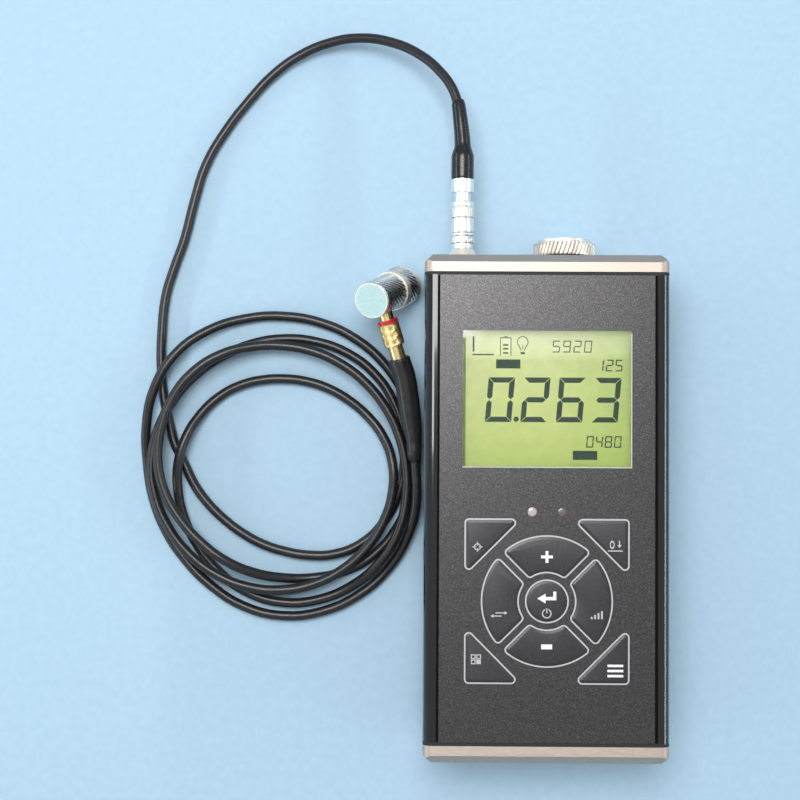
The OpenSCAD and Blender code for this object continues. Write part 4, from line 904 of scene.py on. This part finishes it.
# %% Knurls on the probe and its nut
RING_FOOT = 1.75
RIM_OUTER, RIM_INNER, RIM_H, RIM_SUNK = 4.78, 4.42, 0.14, 0.12


def span(name, foot, axis):
    """Where a CAD node starts and ends along an axis, in millimetres from its foot."""
    along = [(v.co / MM - foot).dot(axis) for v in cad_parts[name].data.vertices]
    return min(along), max(along)


def on_axis(foot, turn, start):
    """Matrix in metres that lays +Z along a leaning axis."""
    return Matrix.Translation((foot + turn @ Vector((0, 0, start))) * MM) @ turn.to_4x4()


low, high = span("probe_case", PROBE_FOOT, probe_axis)
bm = bmesh.new()
knurled_tube(bm, 5, high - low, ridges=23, depth=0.45, slant=-37, bore=4.1, rims=(0.4, 0.3))
knurled_piece("knurled_probe_body", bm, on_axis(PROBE_FOOT, probe_turn, low), probe_steel, painted_shade_steel,
              "probe_case", "root")
low, high = span("delay_ring", PROBE_FOOT, probe_axis)
bm = bmesh.new()
knurled_tube(bm, 5.6, high - low, ridges=26, depth=0.45, slant=-37, bore=3.25, rims=(1.8, 0.4))
delay_ring = knurled_piece("knurled_delay_ring", bm, on_axis(PROBE_FOOT, probe_turn, low), probe_steel,
                           painted_shade_steel, "delay_ring", "delay_ring")
delay_ring.data.materials.append(collar_steel)
for face in delay_ring.data.polygons:
    if (face.center / MM - PROBE_FOOT).dot(probe_axis) < low + RING_FOOT:
        face.material_index = 2
jack_turn = jack_axis.to_track_quat("Z", "Y").to_matrix()
# A darker gold for the nut's valleys paints the shade between its ridges.
painted_shade_gold = finish("gold_valleys_painted_shade", "#d9b468", "#ecc97e", (0.3, 0.4), grain=0.2, Metallic=1.0)
jack_foot = on_jack(0)
low, high = span("connector_nut", jack_foot, jack_axis)
bm = bmesh.new()
knurled_tube(bm, 2.8, high - low, ridges=32, depth=0.1, slant=40, bore=2.05, crossed=True, rims=(0.3, 0.3))
knurled_piece("knurled_gold_nut", bm, on_axis(jack_foot, jack_turn, low), gold, painted_shade_gold,
              "connector_nut", "connector_nut")
low, high = span("probe_disc", PROBE_FOOT, probe_axis)
bm = bmesh.new()
knurled_tube(bm, RIM_OUTER, RIM_H, ridges=12, depth=0, slant=0, bore=RIM_INNER)
rim_place = on_axis(PROBE_FOOT, probe_turn, high - RIM_SUNK)
bmesh.ops.transform(bm, verts=bm.verts, matrix=rim_place @ Matrix.Scale(MM, 4))
disc_rim = piece_from("disc_rim", bm, collar_steel)
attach(disc_rim, "root")
amber = finish("polished_polystyrene", "#b3742a", "#c98b3c", (0.08, 0.15), grain=1.5,
               Transmission_Weight=0.5, IOR=1.59)
dress(amber, "delay_line")
print("probe's foot at", tuple(PROBE_FOOT))


# %% [markdown]
# The inner pieces show only when the case is taken apart. They still get the finish that such pieces
# have: green solder mask, tinned steel, sleeved cells, PVC wires, moulded black plastic and white PTFE.

# %% Inner pieces
dress(finish("gloss_green_solder_mask", "#14432b", "#1f5a3a", (0.25, 0.38), grain=1.5, bump=0.01),
      "main_board")
dress(finish("tinned_spring_steel", "#a5a6a4", "#c8c9c6", (0.2, 0.35), grain=0.5, bump=0.004, Metallic=1.0),
      "signal_shield", "tactile_domes", "battery_spring")
dress(finish("shrink_sleeved_cell", "#7d5a22", "#b98a3e", (0.25, 0.38), grain=6, Metallic=0.4),
      "battery_outer", "battery_inner")
dress(finish("red_wire_pvc", "#8f1f1a", "#b02a24", (0.35, 0.5), grain=0.8, bump=0.008), "battery_lead")
dress(finish("black_wire_pvc", "#161617", "#242426", (0.35, 0.5), grain=0.8, bump=0.008), "signal_lead")
dress(finish("moulded_black_plastic", "#1a1b1d", "#2a2b2e", (0.45, 0.6), grain=0.4, bump=0.01),
      "lcd_frame", "battery_tube", "board_chips")
dress(finish("turned_white_ptfe", "#e2ded2", "#f0ede4", (0.4, 0.55), grain=0.5, bump=0.006),
      "socket_insulator")
dress(finish("cast_clear_acrylic", "#e6edc0", "#f3f7dc", (0.1, 0.2), grain=2.0), "lcd_backlight")
dress(finish("die_cut_polyester_film", "#777c80", "#90959a", (0.4, 0.55), grain=0.8, bump=0.004),
      "keypad_spacer", "keypad_circuit")
dress(finish("silvered_piezo_ceramic", "#b3a37c", "#cbbb94", (0.4, 0.55), grain=0.4, bump=0.006),
      "probe_crystal")
dress(finish("tungsten_filled_epoxy", "#2c3a50", "#43536e", (0.5, 0.65), grain=0.3, bump=0.01),
      "probe_backing")
print("materials", len(bpy.data.materials))


# %% [markdown]
# The floor is one plain pale sheet. The light is soft: an even pale world and one wide lamp high
# beyond the upper left corner, whose sheen grades the keypad from light at the top left to dark at the
# lower right. The world is pale blue near the floor, and so mirrors as more of the floor. A long strip
# at each side gives the case's rounded edges and the cord their thin lines. Far from the lamps the
# floor passes into the colour of the world at the horizon, so that it has no dark edge from the side.
# The world shows and mirrors a little brighter than it lights.

# %% Floor, light and view
HORIZON = "#9dd0f3"
SKY_LIGHT, SEEN_SKY = 0.5, 0.66
FADE_FROM, FADE_TO = 0.3, 0.9
AIM = (0, 0.02, 0.03)
bpy.ops.mesh.primitive_plane_add(size=4, location=(-0.03, 0.02, -0.0002))
floor = bpy.context.object
floor.name = "floor"
floor_paint = finish("pale_blue_floor", "#a9c8dd", "#b1cfe3", (0.7, 0.85), grain=2.5)
floor.data.materials.append(floor_paint)
paint_tree = floor_paint.node_tree
where = node(paint_tree, "ShaderNodeTexCoord").outputs["Object"]
away = node(paint_tree, "ShaderNodeVectorMath", {0: where}, operation="LENGTH")
fade = node(paint_tree, "ShaderNodeMapRange", {"Value": away.outputs["Value"], "From Min": FADE_FROM,
                                               "From Max": FADE_TO}, interpolation_type="SMOOTHSTEP")
horizon = node(paint_tree, "ShaderNodeEmission", {"Color": linear(HORIZON), "Strength": SEEN_SKY})
painted = paint_tree.nodes["Principled BSDF"].outputs[0]
blend = node(paint_tree, "ShaderNodeMixShader", {0: fade.outputs["Result"], 1: painted,
                                                 2: horizon.outputs[0]})
paint_tree.links.new(blend.outputs[0], paint_tree.nodes["Material Output"].inputs["Surface"])


def soft_lamp(name, place, width, depth, power):
    """Rectangular lamp that faces the gauge. Sizes in metres, power in watts."""
    lamp = bpy.data.objects.new(name, bpy.data.lights.new(name, "AREA"))
    bpy.context.scene.collection.objects.link(lamp)
    lamp.data.shape = "RECTANGLE"
    lamp.data.size, lamp.data.size_y, lamp.data.energy = width, depth, power
    lamp.location = place
    lamp.rotation_euler = (Vector(AIM) - Vector(place)).to_track_quat("-Z", "Y").to_euler()


soft_lamp("window_softbox", (-0.1, 0.2, 0.65), width=0.34, depth=0.3, power=3.2)
soft_lamp("left_strip", (-0.6, 0.02, 0.2), width=0.8, depth=0.03, power=1.2)
soft_lamp("right_strip", (0.6, 0.02, 0.3), width=0.8, depth=0.03, power=1.2)
world = bpy.data.worlds.new("soft_room")
bpy.context.scene.world = world
world.use_nodes = True
sky_tree = world.node_tree
toward = node(sky_tree, "ShaderNodeTexCoord").outputs["Generated"]
height = node(sky_tree, "ShaderNodeSeparateXYZ", {"Vector": toward})
sky = node(sky_tree, "ShaderNodeValToRGB", {"Fac": height.outputs["Z"]})
sky.color_ramp.elements[0].color, sky.color_ramp.elements[0].position = linear(HORIZON), 0.1
sky.color_ramp.elements[1].color, sky.color_ramp.elements[1].position = linear("#f4f6f8"), 0.5
sky_tree.links.new(sky.outputs["Color"], sky_tree.nodes["Background"].inputs["Color"])
ray = node(sky_tree, "ShaderNodeLightPath").outputs
seen = node(sky_tree, "ShaderNodeMath", {0: ray["Is Camera Ray"], 1: ray["Is Glossy Ray"]}, operation="ADD")
seen = node(sky_tree, "ShaderNodeMath", {0: seen.outputs["Value"], 1: ray["Is Transmission Ray"]},
            operation="ADD", use_clamp=True)
strength = node(sky_tree, "ShaderNodeMapRange", {"Value": seen.outputs["Value"], "To Min": SKY_LIGHT,
                                                 "To Max": SEEN_SKY})
sky_tree.links.new(strength.outputs["Result"], sky_tree.nodes["Background"].inputs["Strength"])
bpy.context.scene.view_settings.view_transform = "Standard"
